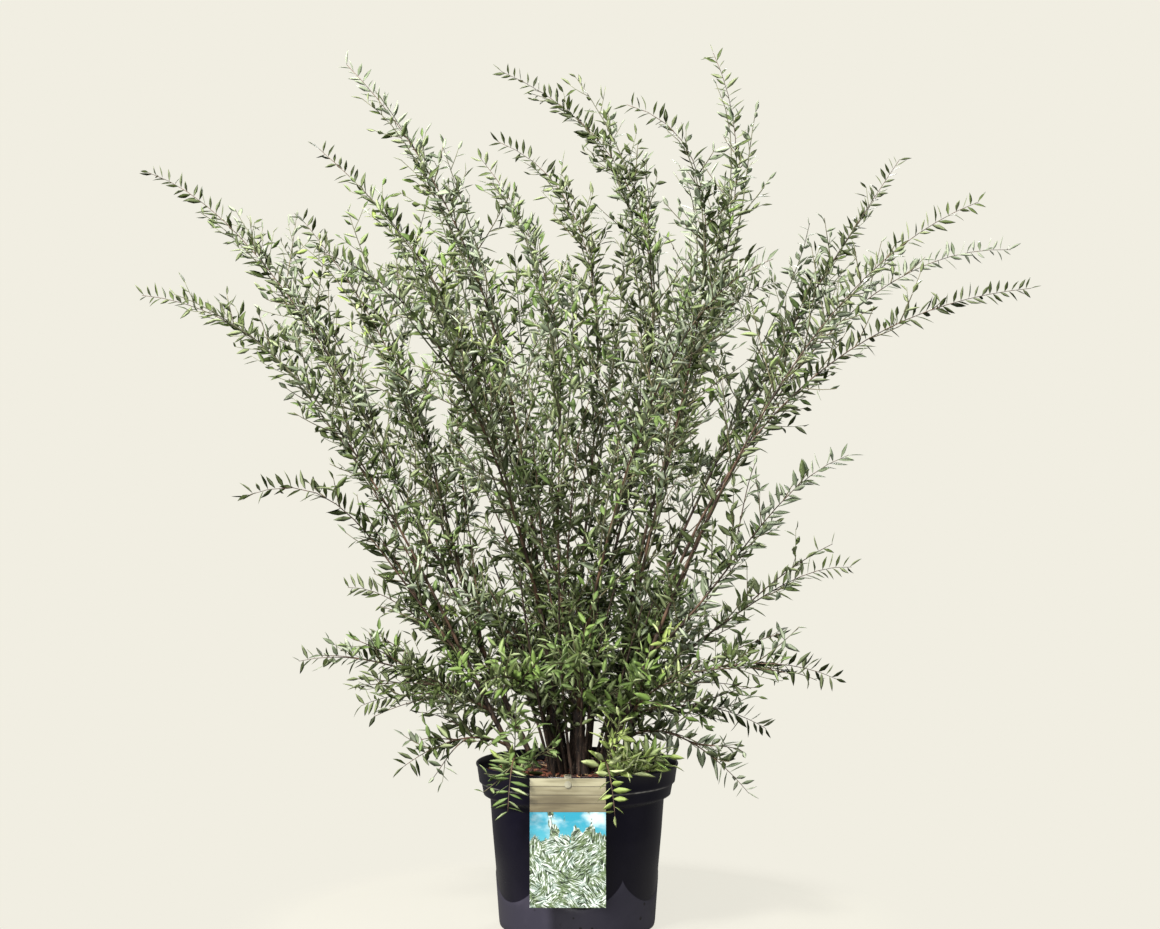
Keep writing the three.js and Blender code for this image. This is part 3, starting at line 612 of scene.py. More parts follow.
def card_material():
    """A generic garden picture: boards above, then sky, blossom and leaves. The back is plain."""
    n = Nodes("card_print")
    z = n.split(n.place)["Z"]
    header_z = (CARD.top_z - CARD.header) * MM
    in_header = n.math("GREATER_THAN", z, header_z)
    grain = n.noise(110, 6, (0.12, 1, 1))
    pale = n.ramp(n.plus(z, n.times(grain, 0.02)), header_z + 0.012, header_z + 0.066)
    boards = n.mottle(grain, 0x544B36, 0x736A50, 0.3, 0.7)
    boards = n.mix(pale, boards, n.mottle(grain, 0x857F62, 0xA8A387))
    seam = n.math("PINGPONG", n.minus(z, header_z), 0.0056)
    boards = n.mottle(seam, 0x3B3526, boards, 0.0, 0.0008)
    fade = n.ramp(z, header_z - 0.07, header_z - 0.004)
    cloud = n.ramp(n.noise(34, 5, (0.6, 1, 1)), 0.5, 0.75)
    sky = n.mix(cloud, n.mix(fade, 0x66B0B8, 0x188AA4), 0xC8D9DA)
    # Sprays of small flowers lean their own way in each clump, over dark leaves.
    clump = n.new("TexVoronoi", Vector=n.place, Scale=58.0).outputs
    spin = n.new("VectorRotate", Vector=n.place, Center=clump["Position"], Axis=(0, 1, 0))
    n.set(spin.inputs["Angle"], n.fit(n.split(clump["Color"])["X"], -1.3, 1.3))
    lean = n.new("Mapping", Vector=spin.outputs["Vector"], Scale=(1, 1, 0.2)).outputs["Vector"]
    strokes = n.new("TexNoise", Vector=lean, Scale=600.0, Detail=3.5, Distortion=0.9)
    strokes = strokes.outputs["Fac"]
    leaf = n.mottle(strokes, 0x141F16, 0x64774F, 0.34, 0.52)
    petals = n.mottle(strokes, 0x788C80, 0xDDE2DE, 0.48, 0.66)
    bloom = n.plus(n.times(n.noise(70, 3), 0.4), n.times(strokes, 0.6))
    garden = n.mottle(bloom, leaf, petals, 0.47, 0.56)
    crest = n.plus(fade, n.times(n.minus(n.noise(75, 5, (1, 1, 0.4)), 0.5), 2.3))
    picture = n.mottle(crest, garden, sky, 0.62, 0.72)
    front = n.mix(in_header, picture, boards)
    facing = n.split(n.new("NewGeometry").outputs["Normal"])["Y"]
    colour = n.mix(n.math("LESS_THAN", facing, -0.5), 0xCFCEC6, front)
    return n.finish(colour, n.fit(n.noise(40), 0.28, 0.42), n.noise(500, 2), 0.05, 0.0002, coat=0.25)


# ---- Limbs ----

LIMB = Table(stem_sides=20, cane_sides=12, ring_pitch=4, stem_relief=0.075, relief=0.05, root=1.12, rings=6)
# The fork closes between the canes that leave it.
FORK_CLOSES = np.array([0.93, 0.75, 0.4])
# A forked cane runs on down inside its stem, by shares of the stem.
INSIDE = np.linspace(0.84, 0.97, 5)
RIDGES = ((3, 90), (5, 60), (7, 38), (2, 24))
KNOT = Table(pitch=42, reach=5, proud=0.3)


def soil_foot(place):
    return np.array([place[0], place[1], SOIL_TOP + GAP], float)


def flared(s, foot, tip):
    flare = 1 + (CANE_RADIUS.flare - 1) * np.maximum(0, 1 - s / CANE_RADIUS.flare_share)
    return lerp(foot, tip, s) * flare


limbs = {}
for name, plan in STEMS.items():
    start = soil_foot(plan.foot)
    top = np.array(plan.fork, float)
    middle = lerp(start, top, STEM_BEND.at) + np.array([*plan.foot, 0]) * STEM_BEND.out
    limbs[name] = Table(line=Line(start, middle, top), bare=1.0, parent=None)

masses = {}
for name, (source, side, lean, tip, end, bow, full) in CANES.items():
    if isinstance(source, str):
        usual, parent = FORKED, source
        start = limbs[parent].line.at(1)[0] + direction(side, 0) * FORK_SPREAD
    else:
        usual, parent, start = ROOTED, None, soil_foot(source)
    line = arch(start, lean, tip, end, bow or usual.bow)
    limbs["cane_" + name] = Table(line=line, bare=usual.bare, parent=parent)
    first = usual.bare + GAP / line.length
    masses["crown_" + name] = Table(line=line, start=first, kind=CROWN, full=full)
for name, (source, at, lean, tip, end, full) in SHOOTS.items():
    if isinstance(source, str):
        limb = limbs.get(source) or limbs["cane_" + source]
        start = limb.line.at(at * limb.bare)[0]
    else:
        start = soil_foot(source)
    line = arch(start, lean, tip, end, BOWS.get(name, SHOOT_BOW))
    prefix, kind = ("crown_", CROWN) if name in TALL else ("skirt_", SKIRT)
    masses[prefix + name] = Table(line=line, start=0.0, kind=kind, full=full)


def suckers(rng):
    """Thin shoots that rise from the soil among the stems and lean outward."""
    way = rng.uniform(*ANY_WAY)
    for _ in range(SUCKERS.count):
        way += TURN
        out = np.array([math.cos(way), math.sin(way), 0])
        foot = soil_foot(out * rng.uniform(*SUCKERS.ring)) - UP * ROOT_DEPTH
        rise = rng.uniform(*SUCKERS.rise)
        lean = math.tan(math.radians(rng.uniform(*SUCKERS.lean)))
        stray = rng.normal(0, SUCKERS.stray, 3)
        bend = foot + (UP + out * lean * 0.6) * rise * 0.5 + stray
        yield Line(foot, bend, foot + (UP + out * lean) * rise)


SUCKER_LINES = list(suckers(np.random.default_rng(SEEDS.suckers)))


def bark_relief(rng, length, rings, sides, depth):
    """Ridges that wander along the limb, with swellings where shoots came off."""
    s = np.linspace(0, length, rings)[:, None]
    angle = round_angles(sides)[None]
    relief = np.ones((rings, sides))
    for ridges, wave in RIDGES:
        wander = 1.6 * np.sin(s / wave + rng.uniform(*ANY_WAY))
        relief = relief + depth / math.sqrt(ridges) * np.sin(ridges * angle + wander + rng.uniform(*ANY_WAY))
    for _ in range(int(length / KNOT.pitch)):
        where = rng.uniform(0.05, 1) * length
        way = rng.uniform(*ANY_WAY)
        bump = np.exp(-(((s - where) / KNOT.reach) ** 2)) * np.maximum(0, np.cos(angle - way)) ** 2
        relief = relief + KNOT.proud * bump
    return relief


def build_limbs(rng):
    """Stems, canes and suckers with relief, in place of the packed stems and canes."""
    heap = Heap()
    for name, limb in limbs.items():
        line, bare, parent = limb.line, limb.bare, limb.parent
        stem = name in STEMS
        sides = LIMB.stem_sides if stem else LIMB.cane_sides
        s = np.linspace(0, bare, int(line.length * bare / LIMB.ring_pitch) + LIMB.rings)
        points = line.at(s)
        if stem:
            radii = flared(s, *STEMS[name].radius)
            radii[-3:] *= FORK_CLOSES
        elif parent:
            radii = lerp(CANE_RADIUS.foot, CANE_RADIUS.tip, s) * lerp(1, 0.8, s / bare)
        else:
            radii = flared(s / bare, CANE_RADIUS.foot, CANE_RADIUS.thin)
        if parent:
            inside = limbs[parent].line
            aside = (points[0] - inside.at(1)[0]) * np.linspace(0.3, 0.9, len(INSIDE))[:, None]
            below = inside.at(INSIDE) + aside
            thick = np.full(len(INSIDE), radii[0]) * np.linspace(0.8, 1, len(INSIDE))
        else:
            below = points[:1] - UP * ROOT_DEPTH
            thick = radii[:1] * LIMB.root
        points = np.concatenate([below, points])
        radii = np.concatenate([thick, radii])
        depth = LIMB.stem_relief if stem else LIMB.relief
        relief = bark_relief(rng, line.length * bare, len(points), sides, depth)
        tube(heap, points, radii, sides, 0 if stem else 1, relief)
    for shoot in SUCKER_LINES:
        s = np.linspace(0, 1, SUCKERS.rings)
        relief = bark_relief(rng, shoot.length, len(s), SUCKERS.sides, LIMB.relief)
        tube(heap, shoot.at(s), lerp(*SUCKERS.radius, s), SUCKERS.sides, 1, relief)
    # Both barks are very dark: partly the old bark's own dark brown, and partly the shade of the dim core
    # under the crown painted in.
    old = bark_material("bark_old", 0x130E0C, 0x382B24, 260)
    young = bark_material("bark_cane", 0x1B1512, 0x43342A, 340)
    limbs_piece = heap.piece("limbs_with_bark", [old, young], "bark")
    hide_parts(*limbs)


# ---- Lines of the shoots and twigs ----


def off_limits(p, room):
    """Which points, with room round them, lie in the pot, the soil or the label."""
    r = np.hypot(p[:, 0], p[:, 1])
    in_soil = (p[:, 2] < SOIL_TOP + room) & (r < POT.rim_radius[1] + room)
    in_rim = (p[:, 2] < POT.height + room) & (np.abs(r - LIP.radius) < LIP.half + room)
    near_card = np.abs(p[:, 0] - CARD.centre_x) < CARD.width / 2 + room
    near_card &= p[:, 2] < CARD.top_z + room
    front_y = CARD.back_y - CARD.depth
    in_card = near_card & (p[:, 1] < CARD.back_y + room) & (p[:, 1] > front_y - room)
    return in_soil | in_rim | in_card


def free_end(line):
    """The share of a twig that stays clear of the pot, the soil and the label."""
    s = np.linspace(0.15, 1, 12)
    blocked = off_limits(line.at(s), CLEAR)
    return 1.0 if not blocked.any() else s[max(0, np.argmax(blocked) - 1)]


def radial_at(line, s, turn):
    """The point, the tangent and the way out, turned about the line, at a share of its length."""
    start, tangent = line.at(s)[0], line.tangent(s)[0]
    return start, tangent, turned(unit(np.cross(tangent, UP)), tangent, turn)


def leaning(tangent, radial, degrees):
    angle = math.radians(degrees)
    return tangent * math.cos(angle) + radial * math.sin(angle)


def lifting(start, heading, reach, lift):
    """A twig that sets out along a heading and lifts in its second half."""
    bend = start + heading * reach * 0.5
    return Line(start, bend, bend + unit(heading + UP * lift) * reach * 0.5)


def around(line, shares, stray, angles, rng):
    """Places along a line for twigs in a spiral: number, start, way out and heading."""
    turn = rng.uniform(*ANY_WAY)
    for i, s in enumerate(shares):
        turn += TURN + rng.uniform(-stray, stray)
        start, tangent, radial = radial_at(line, s, turn)
        yield i, start, radial, leaning(tangent, radial, rng.uniform(*angles))


def side_shoots(mass, seed):
    """The source's side shoots, each with its share of the wand and how far it looks up."""
    line, start_at, kind = mass.line, mass.start, mass.kind
    length = line.length * (1 - start_at)
    count = max(3, round(length * SIDE.last_at / SIDE.pitch))
    for i in range(count):
        draw = dice(seed * 1000 + i)
        u = SIDE.last_at * (i + 0.5) / count
        turn = i * TURN + (draw() - 0.5) * SIDE.turn_spread
        start, tangent, radial = radial_at(line, start_at + (1 - start_at) * u, turn)
        heading = leaning(tangent, radial, lerp(*SIDE.angle, draw()))
        size = lerp(*SIDE.size, draw())
        # Shoots on the underside stay short.
        size *= min(SIDE.longest, 1 + SIDE.light * radial[2])
        grown = lerp(kind.low, 1, min(1, u / SIDE.full_at))
        reach = kind.side * size * grown * (1 - u / SIDE.last_at) ** SIDE.fall
        if reach > SIDE.least:
            yield lifting(start, heading, reach, SIDE.lift), u, radial[2]


def long_shoots(mass, rng):
    """Thin shoots that leave a wand low down and run up beside it."""
    line, start, habit = mass.line, mass.start, mass.kind.long
    way = rng.uniform(*ANY_WAY)
    count = round(habit.count * mass.full[0])
    for i in range(count):
        first = start + (1 - start) * lerp(*habit.first, (i + rng.uniform(0, 0.8)) / count)
        last = min(habit.last_at, first + (1 - start) * rng.uniform(*habit.run))
        way += TURN
        root, tangent, outward = radial_at(line, first, way)
        end, end_tangent = line.at(last)[0], line.tangent(last)[0]
        outward = unit(outward - end_tangent * (outward @ end_tangent))
        lit = max(habit.least_light, min(1, 1 + habit.light * outward[2]))
        tip = end + outward * (rng.uniform(habit.near, lerp(*habit.off, last)) * lit)
        span = np.linalg.norm(tip - root)
        leaving = unit(tangent + outward * math.tan(math.radians(habit.angle)))
        arriving = unit(end_tangent + outward * habit.arriving)
        near, far = habit.handles
        yield Line(root, root + leaving * span * near, tip - arriving * span * far, tip)


def short_twigs(line, rng, density):
    """Leafy twigs along a long shoot."""
    first, last = LONG_SIDE.span
    count = int(line.length * (1 - first) / LONG_SIDE.pitch * density)
    steps = (np.arange(count) + 0.5) / count
    shares = lerp(first, last, steps)
    for i, start, _, heading in around(line, shares, LONG_SIDE.stray, SIDE.angle, rng):
        reach = rng.uniform(*LONG_SIDE.reach) * (1 - LONG_SIDE.fall * steps[i])
        yield lifting(start, heading, reach, SIDE.lift)


def spurs(line, first, last, pitch, rng):
    """Short leafy shoots low on a limb or a wand."""
    shares = np.arange(first * line.length, last * line.length, pitch) / line.length
    shares = shares[line.at(shares)[:, 2] >= SPUR.lowest]
    for _, start, radial, heading in around(line, shares, SPUR.stray, SPUR.angle, rng):
        if radial[2] < SPUR.shaded:
            continue
        reach = rng.uniform(*SPUR.reach) * min(1, 1 + SPUR.light * radial[2])
        yield lifting(start, heading, reach, SPUR.lift)


def tuft_twigs(tuft, rng):
    """Leafy twigs that fan out low over the soil."""
    for i in range(tuft.count):
        foot = soil_foot(tuft.foot) + np.array([*rng.normal(0, TUFT.spread, 2), 0])
        heading = lerp(*tuft.heading, (i + rng.uniform(0, 1)) / tuft.count)
        reach = rng.uniform(*tuft.reach)
        pitch = rng.uniform(*TUFT.pitch)
        bend = foot + direction(heading, pitch) * reach * TUFT.knee
        end = direction(heading, pitch - TUFT.droop)
        yield Line(foot, bend, bend + end * reach * (1 - TUFT.knee))


def fine_twigs(shoot, rng, density):
    """Finer twigs along a shoot."""
    first = FINE.first_at
    count = round(shoot.length * (1 - first) / FINE.pitch * density)
    shares = first + (1 - first) * (np.arange(count) + 0.5) / count
    for i, start, _, heading in around(shoot, shares, FINE.stray, FINE.angle, rng):
        reach = min(FINE.most, rng.uniform(*FINE.share) * shoot.length * (1.15 - shares[i]))
        if reach >= FINE.least:
            yield lifting(start, unit(heading + UP * FINE.rise), reach, FINE.lift)


# ---- Leaves ----


class Leaves:
    """Places of leaves, gathered as rows."""

    def __init__(self, rng):
        self.rng, self.rows = rng, []

    def along(self, line, first, last, tint, size=1.0, pitch=1.0, comb=0.0, over=UP, slender=1.0):
        """Leaves along part of a line, drawn by comb into two rows, towards over and away from it."""
        rng = self.rng
        span = line.length * (last - first)
        count = max(2, int(span / (LEAF.pitch * pitch)))
        i = np.arange(count)
        s = first + (last - first) * (i + 0.7 + rng.uniform(-0.2, 0.2, count)) / count
        root, tangent = line.at(s), line.tangent(s)
        turn = i * TURN + rng.uniform(0, 0.9, count) + rng.uniform(*ANY_WAY)
        radial = turned(unit(np.cross(tangent, UP)), tangent, turn)
        above = unit(over - tangent * (tangent @ over)[:, None])
        radial = unit(radial + above * (np.where(i % 2, comb, -comb))[:, None])
        # Leaves under a twig hang less than those above it rise.
        radial[:, 2] = np.where(radial[:, 2] < 0, radial[:, 2] * LEAF.below, radial[:, 2])
        # The last leaf goes on along the twig.
        ends = (i == count - 1)[:, None]
        spread, end_spread = LEAF.spread
        rise, end_rise = LEAF.rise
        way = tangent * LEAF.lean + radial * np.where(ends, end_spread, spread)
        way = way + UP * np.where(ends, end_rise, rise)
        way = unit(way + rng.normal(0, LEAF.stray, (count, 3)))
        ahead, up = LEAF.facing
        upper = tangent * ahead + UP * up + rng.normal(0, LEAF.facing_stray, (count, 3))
        upper = unit(upper - way * np.sum(upper * way, axis=1, keepdims=True))
        taper = 1 - LEAF.taper * ((s - first) / (last - first)) ** 3
        length = rng.uniform(*LEAF.length, count) * taper * size
        tips = root + way * length[:, None]
        keep = ~(off_limits(tips, CLEAR) | off_limits(root, -1) | off_limits(lerp(root, tips, 0.5), CLEAR))
        width = length * LEAF.slender * slender * rng.uniform(*LEAF.width_spread, count)
        row = np.column_stack([root, way, upper, length, width, np.full(count, tint)])
        self.rows.append(row[keep])


def leaf_faces():
    """Faces of one leaf: base 0, then left, right, upper and lower midrib at each station, then tip."""
    firsts = [1 + 4 * k for k in range(len(LEAF_STATIONS))]
    tip = firsts[-1] + 4
    tris, slots = [], []
    for side in (0, 1):
        for slot in (0, 1):
            edges = [first + side for first in firsts]
            ribs = [first + 2 + slot for first in firsts]
            half = [(0, edges[0], ribs[0])]
            for k in range(len(firsts) - 1):
                half.append((ribs[k], edges[k], edges[k + 1]))
                half.append((ribs[k], edges[k + 1], ribs[k + 1]))
            half.append((ribs[-1], edges[-1], tip))
            tris += [face if side == slot else face[::-1] for face in half]
            slots += [slot] * len(half)
    return np.array(tris), np.array(slots)


def add_leaves(heap, rows, rng):
    """Folded, slightly curved blades, with a paler underside in the second material."""
    faces, slots = leaf_faces()
    root, way, upper, length, width, _ = np.split(rows, LEAF_COLUMNS, axis=1)
    across = np.cross(way, upper)
    curl = rng.normal(*LEAF.curl, (len(rows), 1))
    half_thick = upper * LEAF.thickness * 0.5
    points = [root]
    for station, share in zip(LEAF_STATIONS, LEAF_WIDTHS):
        middle = root + way * length * station + upper * curl * length * station**2
        edge = upper * LEAF.fold * width * share
        for way_out in (-1, 1):
            points.append(middle + across * way_out * width * 0.5 * share + edge)
        points += [middle + half_thick, middle - half_thick]
    points.append(root + way * length + upper * curl * length)
    block = np.stack(points, axis=1)
    offsets = np.arange(len(rows)) * block.shape[1]
    tris = (faces[None] + offsets[:, None, None]).reshape(-1, 3)
    heap.add(block.reshape(-1, 3), tris=tris, slot=np.tile(slots, len(rows)))


def spray_tint(place, rng, skirt=False):
    """The tint of one spray, drawn by where it is."""
    out = np.hypot(place[0], place[1])
    outer = np.clip(out / OUTER.radius + (place[2] - OUTER.from_z) / OUTER.rise, 0, 1)
    shares = SKIRT_SHARES if skirt else lerp(INNER_SHARES, OUTER_SHARES, outer)
    # Darker tints inside and in the core, paler ones outside, are painted shade.
    if out < CORE.radius and place[1] > CORE.front and place[2] < CORE.top:
        shares = CORE_PAINTED_SHADE_SHARES
    # Bright tints in these places are partly new growth and partly painted light.
    elif any(np.linalg.norm(place - np.array(centre)) < radius for centre, radius in FRESH_AND_SUNLIT_PLACES):
        shares = FRESH_AND_SUNLIT_SHARES
    return rng.choice(len(TINTS), p=shares / shares.sum())


# ---- Growth ----


def grow(rng):
    """Everything that grows on the limbs, gathered as wands, twigs and rows of leaves."""
    wands, twigs, leaves = Heap(), Heap(), Leaves(rng)

    def leafy(line, style, tint, size, density):
        """A twig with leaves, as far as it stays clear."""
        free = free_end(line)
        if free * line.length < FINE.least:
            return
        s = np.linspace(0, free, style.rings)
        tube(twigs, line.at(s), lerp(*style.radii, s), style.sides, style.slot)
        leaves.along(line, LEAF.first_at * free, free, tint, size, 1 / density)

    def branch(line, style, tint, sizes, density, fine):
        """A leafy twig with its own finer twigs. sizes are those of its leaves and of theirs."""
        leafy(line, style, tint, sizes[0], density)
        for twig in fine_twigs(line, rng, fine):
            leafy(twig, FINE_TWIG, tint, sizes[1], density)

    def low_spurs(line, first, last, pitch):
        for spur in spurs(line, first, last, pitch, rng):
            tint = spray_tint(spur.at(0.7)[0], rng)
            branch(spur, FINE_TWIG, tint, SPUR.sizes, SPUR.density, SPUR.fine)

    def wand(name, mass):
        """The mass's own stem with its leaves, bare below."""
        line, start, kind = mass.line, mass.start, mass.kind
        end = 1 - WAND.bare_tip / line.length
        s = np.linspace(max(0, start - WAND.overlap), end, kind.rings)
        taper = np.interp(np.linspace(0, 1, len(s)), *zip(*WAND_TAPER))
        tube(wands, line.at(s), kind.radius * taper, WAND.sides)
        tint = PALE_WANDS.get(name, rng.choice(len(TINTS), p=WAND_SHARES))
        usual = {**WAND_LEAVES, "tint": tint, "size": kind.size * WAND_LEAVES["size"]}
        leafy_from = start + kind.leafy * (1 - start)
        leaves.along(line, leafy_from, end, **SPRIGS.get(name, usual))
        if kind is CROWN:
            leaves.along(line, start + 0.02, leafy_from, tint, WAND_LEAVES["size"], 2)

    def long_growth(mass):
        """Long shoots beside the wand, more leafy above, with their short twigs."""
        kind = mass.kind
        for shoot in long_shoots(mass, rng):
            s = np.linspace(0, free_end(shoot), kind.long.rings)
            young = shoot.at(0.5)[0, 2] > YOUNG_ABOVE
            tube(wands, shoot.at(s), lerp(*kind.long.radius, s), kind.long.sides, int(young))
            tint = spray_tint(shoot.at(0.7)[0], rng, kind is SKIRT)
            leaves.along(shoot, 0.1, 0.5, tint, kind.size * 1.15, 2.2)
            leaves.along(shoot, 0.5, 1, tint, kind.size, 1.0, 0.9)
            for twig in short_twigs(shoot, rng, LONG_SIDE.density * mass.full[1]):
                leafy(twig, FINE_TWIG, tint, kind.size * LONG_SIDE.size, 1.0)

    def side_growth(name, mass, seed):
        """Side shoots with fine twigs, as thick as their place on the wand allows."""
        kind, look = mass.kind, SPRIGS.get(name)
        for shoot, u, up in side_shoots(mass, seed):
            if look and shoot.at(0)[0, 2] < POT.height:
                continue
            thick = DENSITY.skirt if kind is SKIRT else lerp(DENSITY.foot, DENSITY.tip, u)
            density = thick * lerp(*mass.full, u**2)
            if kind is CROWN:
                density *= min(1, 1 + DENSITY.shaded * up)
            if density < DENSITY.bare:
                continue
            tint = look["tint"] if look else spray_tint(shoot.at(0.6)[0], rng, kind is SKIRT)
            sizes = (kind.size, kind.size * FINE.size)
            branch(shoot, SIDE_TWIG, tint, sizes, min(DENSITY.most_leaves, density), density)

    for limb in limbs.values():
        low_spurs(limb.line, 0, limb.bare, SPUR.limb_pitch)
    for seed, (name, mass) in enumerate(masses.items(), start=1):
        if mass.kind is CROWN:
            top = lerp(mass.start, 1, SPUR.last_at)
            low_spurs(mass.line, mass.start, top, SPUR.wand_pitch / mass.full[0])
        wand(name, mass)
        if name not in SPRIGS:
            long_growth(mass)
        side_growth(name, mass, seed)
    for tuft in TUFTS:
        for i, twig in enumerate(tuft_twigs(tuft, rng)):
            tint = tuft.tints[i % len(tuft.tints)]
            branch(twig, FINE_TWIG, tint, TUFT.sizes, TUFT.density, TUFT.fine)
    for shoot in SUCKER_LINES:
        leaves.along(shoot, SUCKERS.leafy, 1, spray_tint(shoot.at(0.7)[0], rng), 1.0, 1.2)
    return wands, twigs, np.concatenate(leaves.rows)


def build_foliage(rng):
    wands, twigs, rows = grow(rng)
    barks = [twig_material(*colours) for colours in TWIG_BARKS]
    wand_piece = wands.piece("wands", barks[:2], "bark")
    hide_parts(*masses)
    twigs.piece("twigs", barks[2:], "bark")
    for k, (tint, upper, drift, under) in enumerate(TINTS):
        shades = (("leaf_", upper), ("leaf_under_", under))
        skins = [leaf_material(kind + tint, colour, drift) for kind, colour in shades]
        mine = rows[rows[:, -1] == k]
        for part, group in enumerate(np.array_split(mine, math.ceil(len(mine) / LEAVES_IN_A_PIECE))):
            heap = Heap()
            add_leaves(heap, group, rng)
            heap.piece(f"leaves_{tint}_{part}", skins, "foliage")


# ---- Pot ----

FOOT = [(0.01, 1.2), (60, 1.2), (96, 0.8), (101, 0), (104.5, 0), (106.8, 1), (107.5, 3.5)]


def pot_profile():
    """Radius and height up the outside, over the lip and down the inside."""
    b0, b1 = POT.band_radius
    r0, r1 = POT.rim_radius
    h, step, shoulder = POT.height, POT.step_z, POT.shoulder_z
    w, low, high = POT.wall, POT.base_radius, POT.shoulder_radius
    wall = [(lerp(low, high, z / shoulder), z) for z in np.linspace(8, shoulder - 3, WALL_RINGS)]
    band = [(high + 0.6, shoulder - 1), (b0 - 2, shoulder + 0.2), (b0, shoulder + 1.5)]
    band += [(b0 + 0.4, shoulder + 4), (b1 - 0.4, step - 4), (b1, step - 1.2), (b1 + 0.4, step - 0.2)]
    rim = [(r0 - 1.4, step + 0.6), (r0, step + 2), (r0 + 0.4, step + 5), (r1 - 1.6, h - 5)]
    rim += [(r1 - 0.5, h - 3.6), (r1, h - 2.2), (r1 - 0.2, h - 0.8), (r1 - 1.2, h)]
    rim += [(r1 - 2.4, h - 0.3), (r1 - 3, h - 1.6)]
    inside = [(r1 - 2.6 - w, h - 8), (r0 - w, step + 3), (b1 - w, step), (b0 - w, shoulder + 3)]
    inside += [(high - w, shoulder), (low, POT.inner_floor), (0.01, POT.inner_floor)]
    return np.array(FOOT + wall + band + rim + inside)


def build_pot():
    profile = pot_profile()
    angle = round_angles(POT_SIDES)
    r = np.repeat(profile[:, :1], POT_SIDES, 1)
    z = np.repeat(profile[:, 1:], POT_SIDES, 1)
    share = ((np.degrees(angle) + 90 - ARCHES.peak_at) / (360 / ARCHES.count)) % 1
    edge = lerp(ARCHES.peak_z, ARCHES.low_z, np.sin(math.pi * share) ** ARCHES.power)[None]
    ring = np.arange(len(profile))[:, None]
    wall = (ring >= len(FOOT) - 1) & (ring < len(FOOT) + WALL_RINGS)
    # The panels lie behind the foot band and come level with the wall above.
    band = np.clip((edge - z) / ARCHES.soft, 0, 1)
    sunk = (1 - band) * np.clip((ARCHES.top_z - z) / (ARCHES.top_z - ARCHES.peak_z), 0, 1)
    r = r - np.where(wall, ARCHES.proud * sunk, 0)
    heap = Heap()
    ends = np.array([[0, 0, profile[0, 1]], [0, 0, profile[-1, 1]]])
    heap.skin(np.stack([r * np.cos(angle), r * np.sin(angle), z], axis=-1), ends)
    piece = heap.piece("pot_moulded", [pot_material()], "pot")
    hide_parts("pot")


# ---- Mulch ----

CHIP_SIZE = ((2.5, 7), (1.2, 3.4), (0.4, 1.3))
STRAW_SIZE = ((6, 15), (0.4, 0.9), (0.3, 0.5))
STRAW = 2


def soil_height(x, y):
    """Low waves, a mound on the left and a fall to the rim."""
    waves = np.sin(x / 17 + 0.4) * np.cos(y / 21 + 1.9) + 0.6 * np.sin(x / 8 + y / 11 + 3.1)
    rim = np.clip((np.hypot(x, y) - 104) / 26, 0, 1)
    mound = 5.5 * np.exp(-(((x + 104) / 34) ** 2) - (((y + 18) / 46) ** 2))
    return SOIL_TOP - 1.5 + 1.1 * waves + mound - 3.5 * rim**2


def build_bed(rng):
    radii = np.concatenate([np.linspace(*BED.flat), BED.edge])
    angle = round_angles(BED.sides)
    x = radii[:, None] * np.cos(angle)
    y = radii[:, None] * np.sin(angle)
    z = soil_height(x, y) + rng.normal(0, BED.rough, x.shape)
    z[-1] = BED.bottom
    heap = Heap()
    heap.skin(np.stack([x, y, z], axis=-1), np.array([[0, 0, soil_height(0, 0)], [0, 0, BED.bottom]]))
    n = Nodes("mulch_bed")
    colour = n.mottle(n.noise(160, 5), 0x2A1B15, 0x5B382A)
    skin = n.finish(colour, 0.92, n.noise(420, 4), 0.8, 0.003)
    piece = heap.piece("mulch_bed", [skin], "soil")
    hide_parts("soil")


def build_chips(rng):
    """Loose bark chips and bits of straw, as uneven flat boxes."""
    heap = Heap()
    corners = np.array([[x, y, z] for x in (-1, 1) for y in (-1, 1) for z in (-1, 1)], float)
    box = np.array([[0, 1, 3, 2], [4, 6, 7, 5], [0, 4, 5, 1], [2, 3, 7, 6], [0, 2, 6, 4], [1, 5, 7, 3]])
    for _ in range(CHIPS.count):
        kind = rng.choice(len(CHIP_KINDS), p=CHIPS.shares)
        r = CHIPS.ring * math.sqrt(rng.uniform(0, 1))
        a = rng.uniform(0, 2 * math.pi)
        centre = np.array([r * math.cos(a), r * math.sin(a), 0])
        size = np.array([rng.uniform(*span) for span in CHIP_SIZE])
        if kind == STRAW:
            size = np.array([rng.uniform(*span) for span in STRAW_SIZE])
        shape = corners * (1 + rng.uniform(-CHIPS.uneven, CHIPS.uneven, (8, 3))) * size
        normal = unit(UP + rng.normal(0, CHIPS.tilt, 3))
        forward = unit(np.cross(normal, rng.normal(0, 1, 3)))
        basis = np.stack([forward, np.cross(normal, forward), normal])
        # Chips at the edge are smaller, so that they stay inside the pot.
        fits = max(0.35, min(1.0, (CHIPS.edge - r) / max(size[0], 1)))
        centre[2] = soil_height(*centre[:2]) + rng.uniform(0.1, 1.3)
        heap.add(shape * fits @ basis + centre, quads=box, slot=kind)
    skins = []
    for name, dark, light in CHIP_KINDS:
        n = Nodes(name)
        colour = n.mottle(n.noise(300, 4, (1, 1, 0.3)), dark, light)
        skins.append(n.finish(colour, n.fit(n.noise(90), 0.7, 0.95), n.noise(800, 3), 0.5, 0.0008))
    heap.piece("mulch_chips", skins, "soil", smooth=False)


# ---- Label ----


def finish_label():
    n = Nodes("hanger_plastic")
    colour = n.mottle(n.noise(120), 0x96937F, 0x848170, 0.4, 0.6)
    clip = n.finish(colour, n.fit(n.noise(300), 0.3, 0.45), n.noise(900), 0.1, 0.0003)
    for node, material in (("label_card", card_material()), ("label_hanger", clip)):
        for slot in frame["nodes"][node].material_slots:
            slot.material = material


# ---- Studio ----


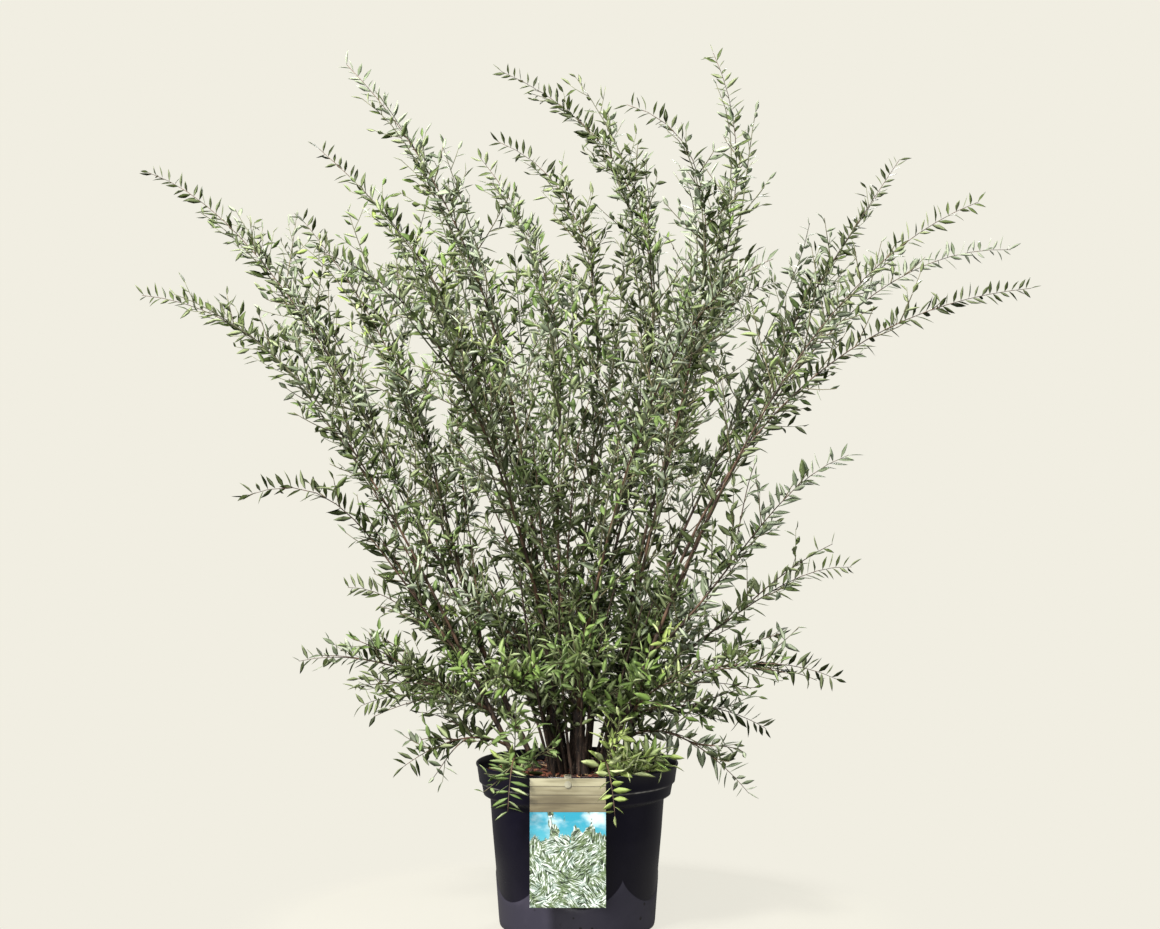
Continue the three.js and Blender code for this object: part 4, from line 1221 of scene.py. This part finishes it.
def build_floor():
    """A pale floor that shows faintly near the pot and fades out round it."""
    mesh = bpy.data.meshes.new("floor")
    half = FLOOR.half
    corners = [(-half, -half, 0), (half, -half, 0), (half, half, 0), (-half, half, 0)]
    mesh.from_pydata(corners, [], [(0, 1, 2, 3)])
    n = Nodes("floor_pale")
    place = n.split(n.place)
    out = n.math("SQRT", n.plus(n.math("POWER", place["X"], 2.0), n.math("POWER", place["Y"], 2.0)))
    n.finish(tuple(FLOOR.albedo * c for c in srgb(CREAM)[:3]) + (1,), 0.9, specular=0.0)
    clear = n.new("BsdfTransparent")
    gone = n.math("MAXIMUM", n.ramp(out, *FLOOR.fade), 1 - FLOOR.cover)
    blend = n.new("MixShader", Fac=gone)
    n.set(blend.inputs[1], n.shader.outputs["BSDF"])
    n.set(blend.inputs[2], clear.outputs["BSDF"])
    n.set(n.tree.nodes["Material Output"].inputs["Surface"], blend.outputs["Shader"])
    mesh.materials.append(n.material)
    floor = shown("floor", mesh)


def build_world():
    """Cream to the camera, and a faint light on everything else."""
    world = bpy.data.worlds.new("cream_room")
    bpy.context.scene.world = world
    room = Tree(world)
    seen = room.tree.nodes["Background"]
    room.set(seen.inputs["Color"], srgb(CREAM))
    light = room.new("Background", Color=WORLD_LIGHT.colour, Strength=WORLD_LIGHT.strength)
    pick = room.new("MixShader", Fac=room.new("LightPath").outputs["Is Camera Ray"])
    room.set(pick.inputs[1], light.outputs[0])
    room.set(pick.inputs[2], seen.outputs[0])
    room.set(room.tree.nodes["World Output"].inputs["Surface"], pick.outputs[0])


def add_light(name, place, size, watts, colour):
    data = bpy.data.lights.new(name, "AREA")
    data.shape, data.size, data.energy, data.color = "DISK", size, watts, colour
    lamp = shown(name, data)
    lamp.location = place
    aim = np.array([0, 0, LIGHTS_AIM_Z]) - np.array(place)
    tilt = math.pi - math.acos(aim[2] / np.linalg.norm(aim))
    lamp.rotation_euler = (tilt, 0, math.atan2(aim[1], aim[0]) - math.pi / 2)


def build_studio():
    build_floor()
    build_world()
    for name, light in LIGHTS.items():
        add_light(name, *light)
    data = bpy.data.cameras.new("camera")
    data.sensor_width = CAMERA.sensor
    data.lens = CAMERA.sensor * CAMERA.distance / (CAMERA.pixels * CAMERA.mm_per_pixel * MM)
    camera = shown("camera", data)
    camera.location = (CAMERA.x, -CAMERA.distance, CAMERA.z)
    camera.rotation_euler = (math.pi / 2, 0, 0)
    bpy.context.scene.camera = camera
    bpy.context.scene.view_settings.view_transform = "Standard"


build_studio()
build_limbs(np.random.default_rng(SEEDS.limbs))
build_foliage(np.random.default_rng(SEEDS.foliage))
build_pot()
mulch_rng = np.random.default_rng(SEEDS.mulch)
build_bed(mulch_rng)
build_chips(mulch_rng)
finish_label()
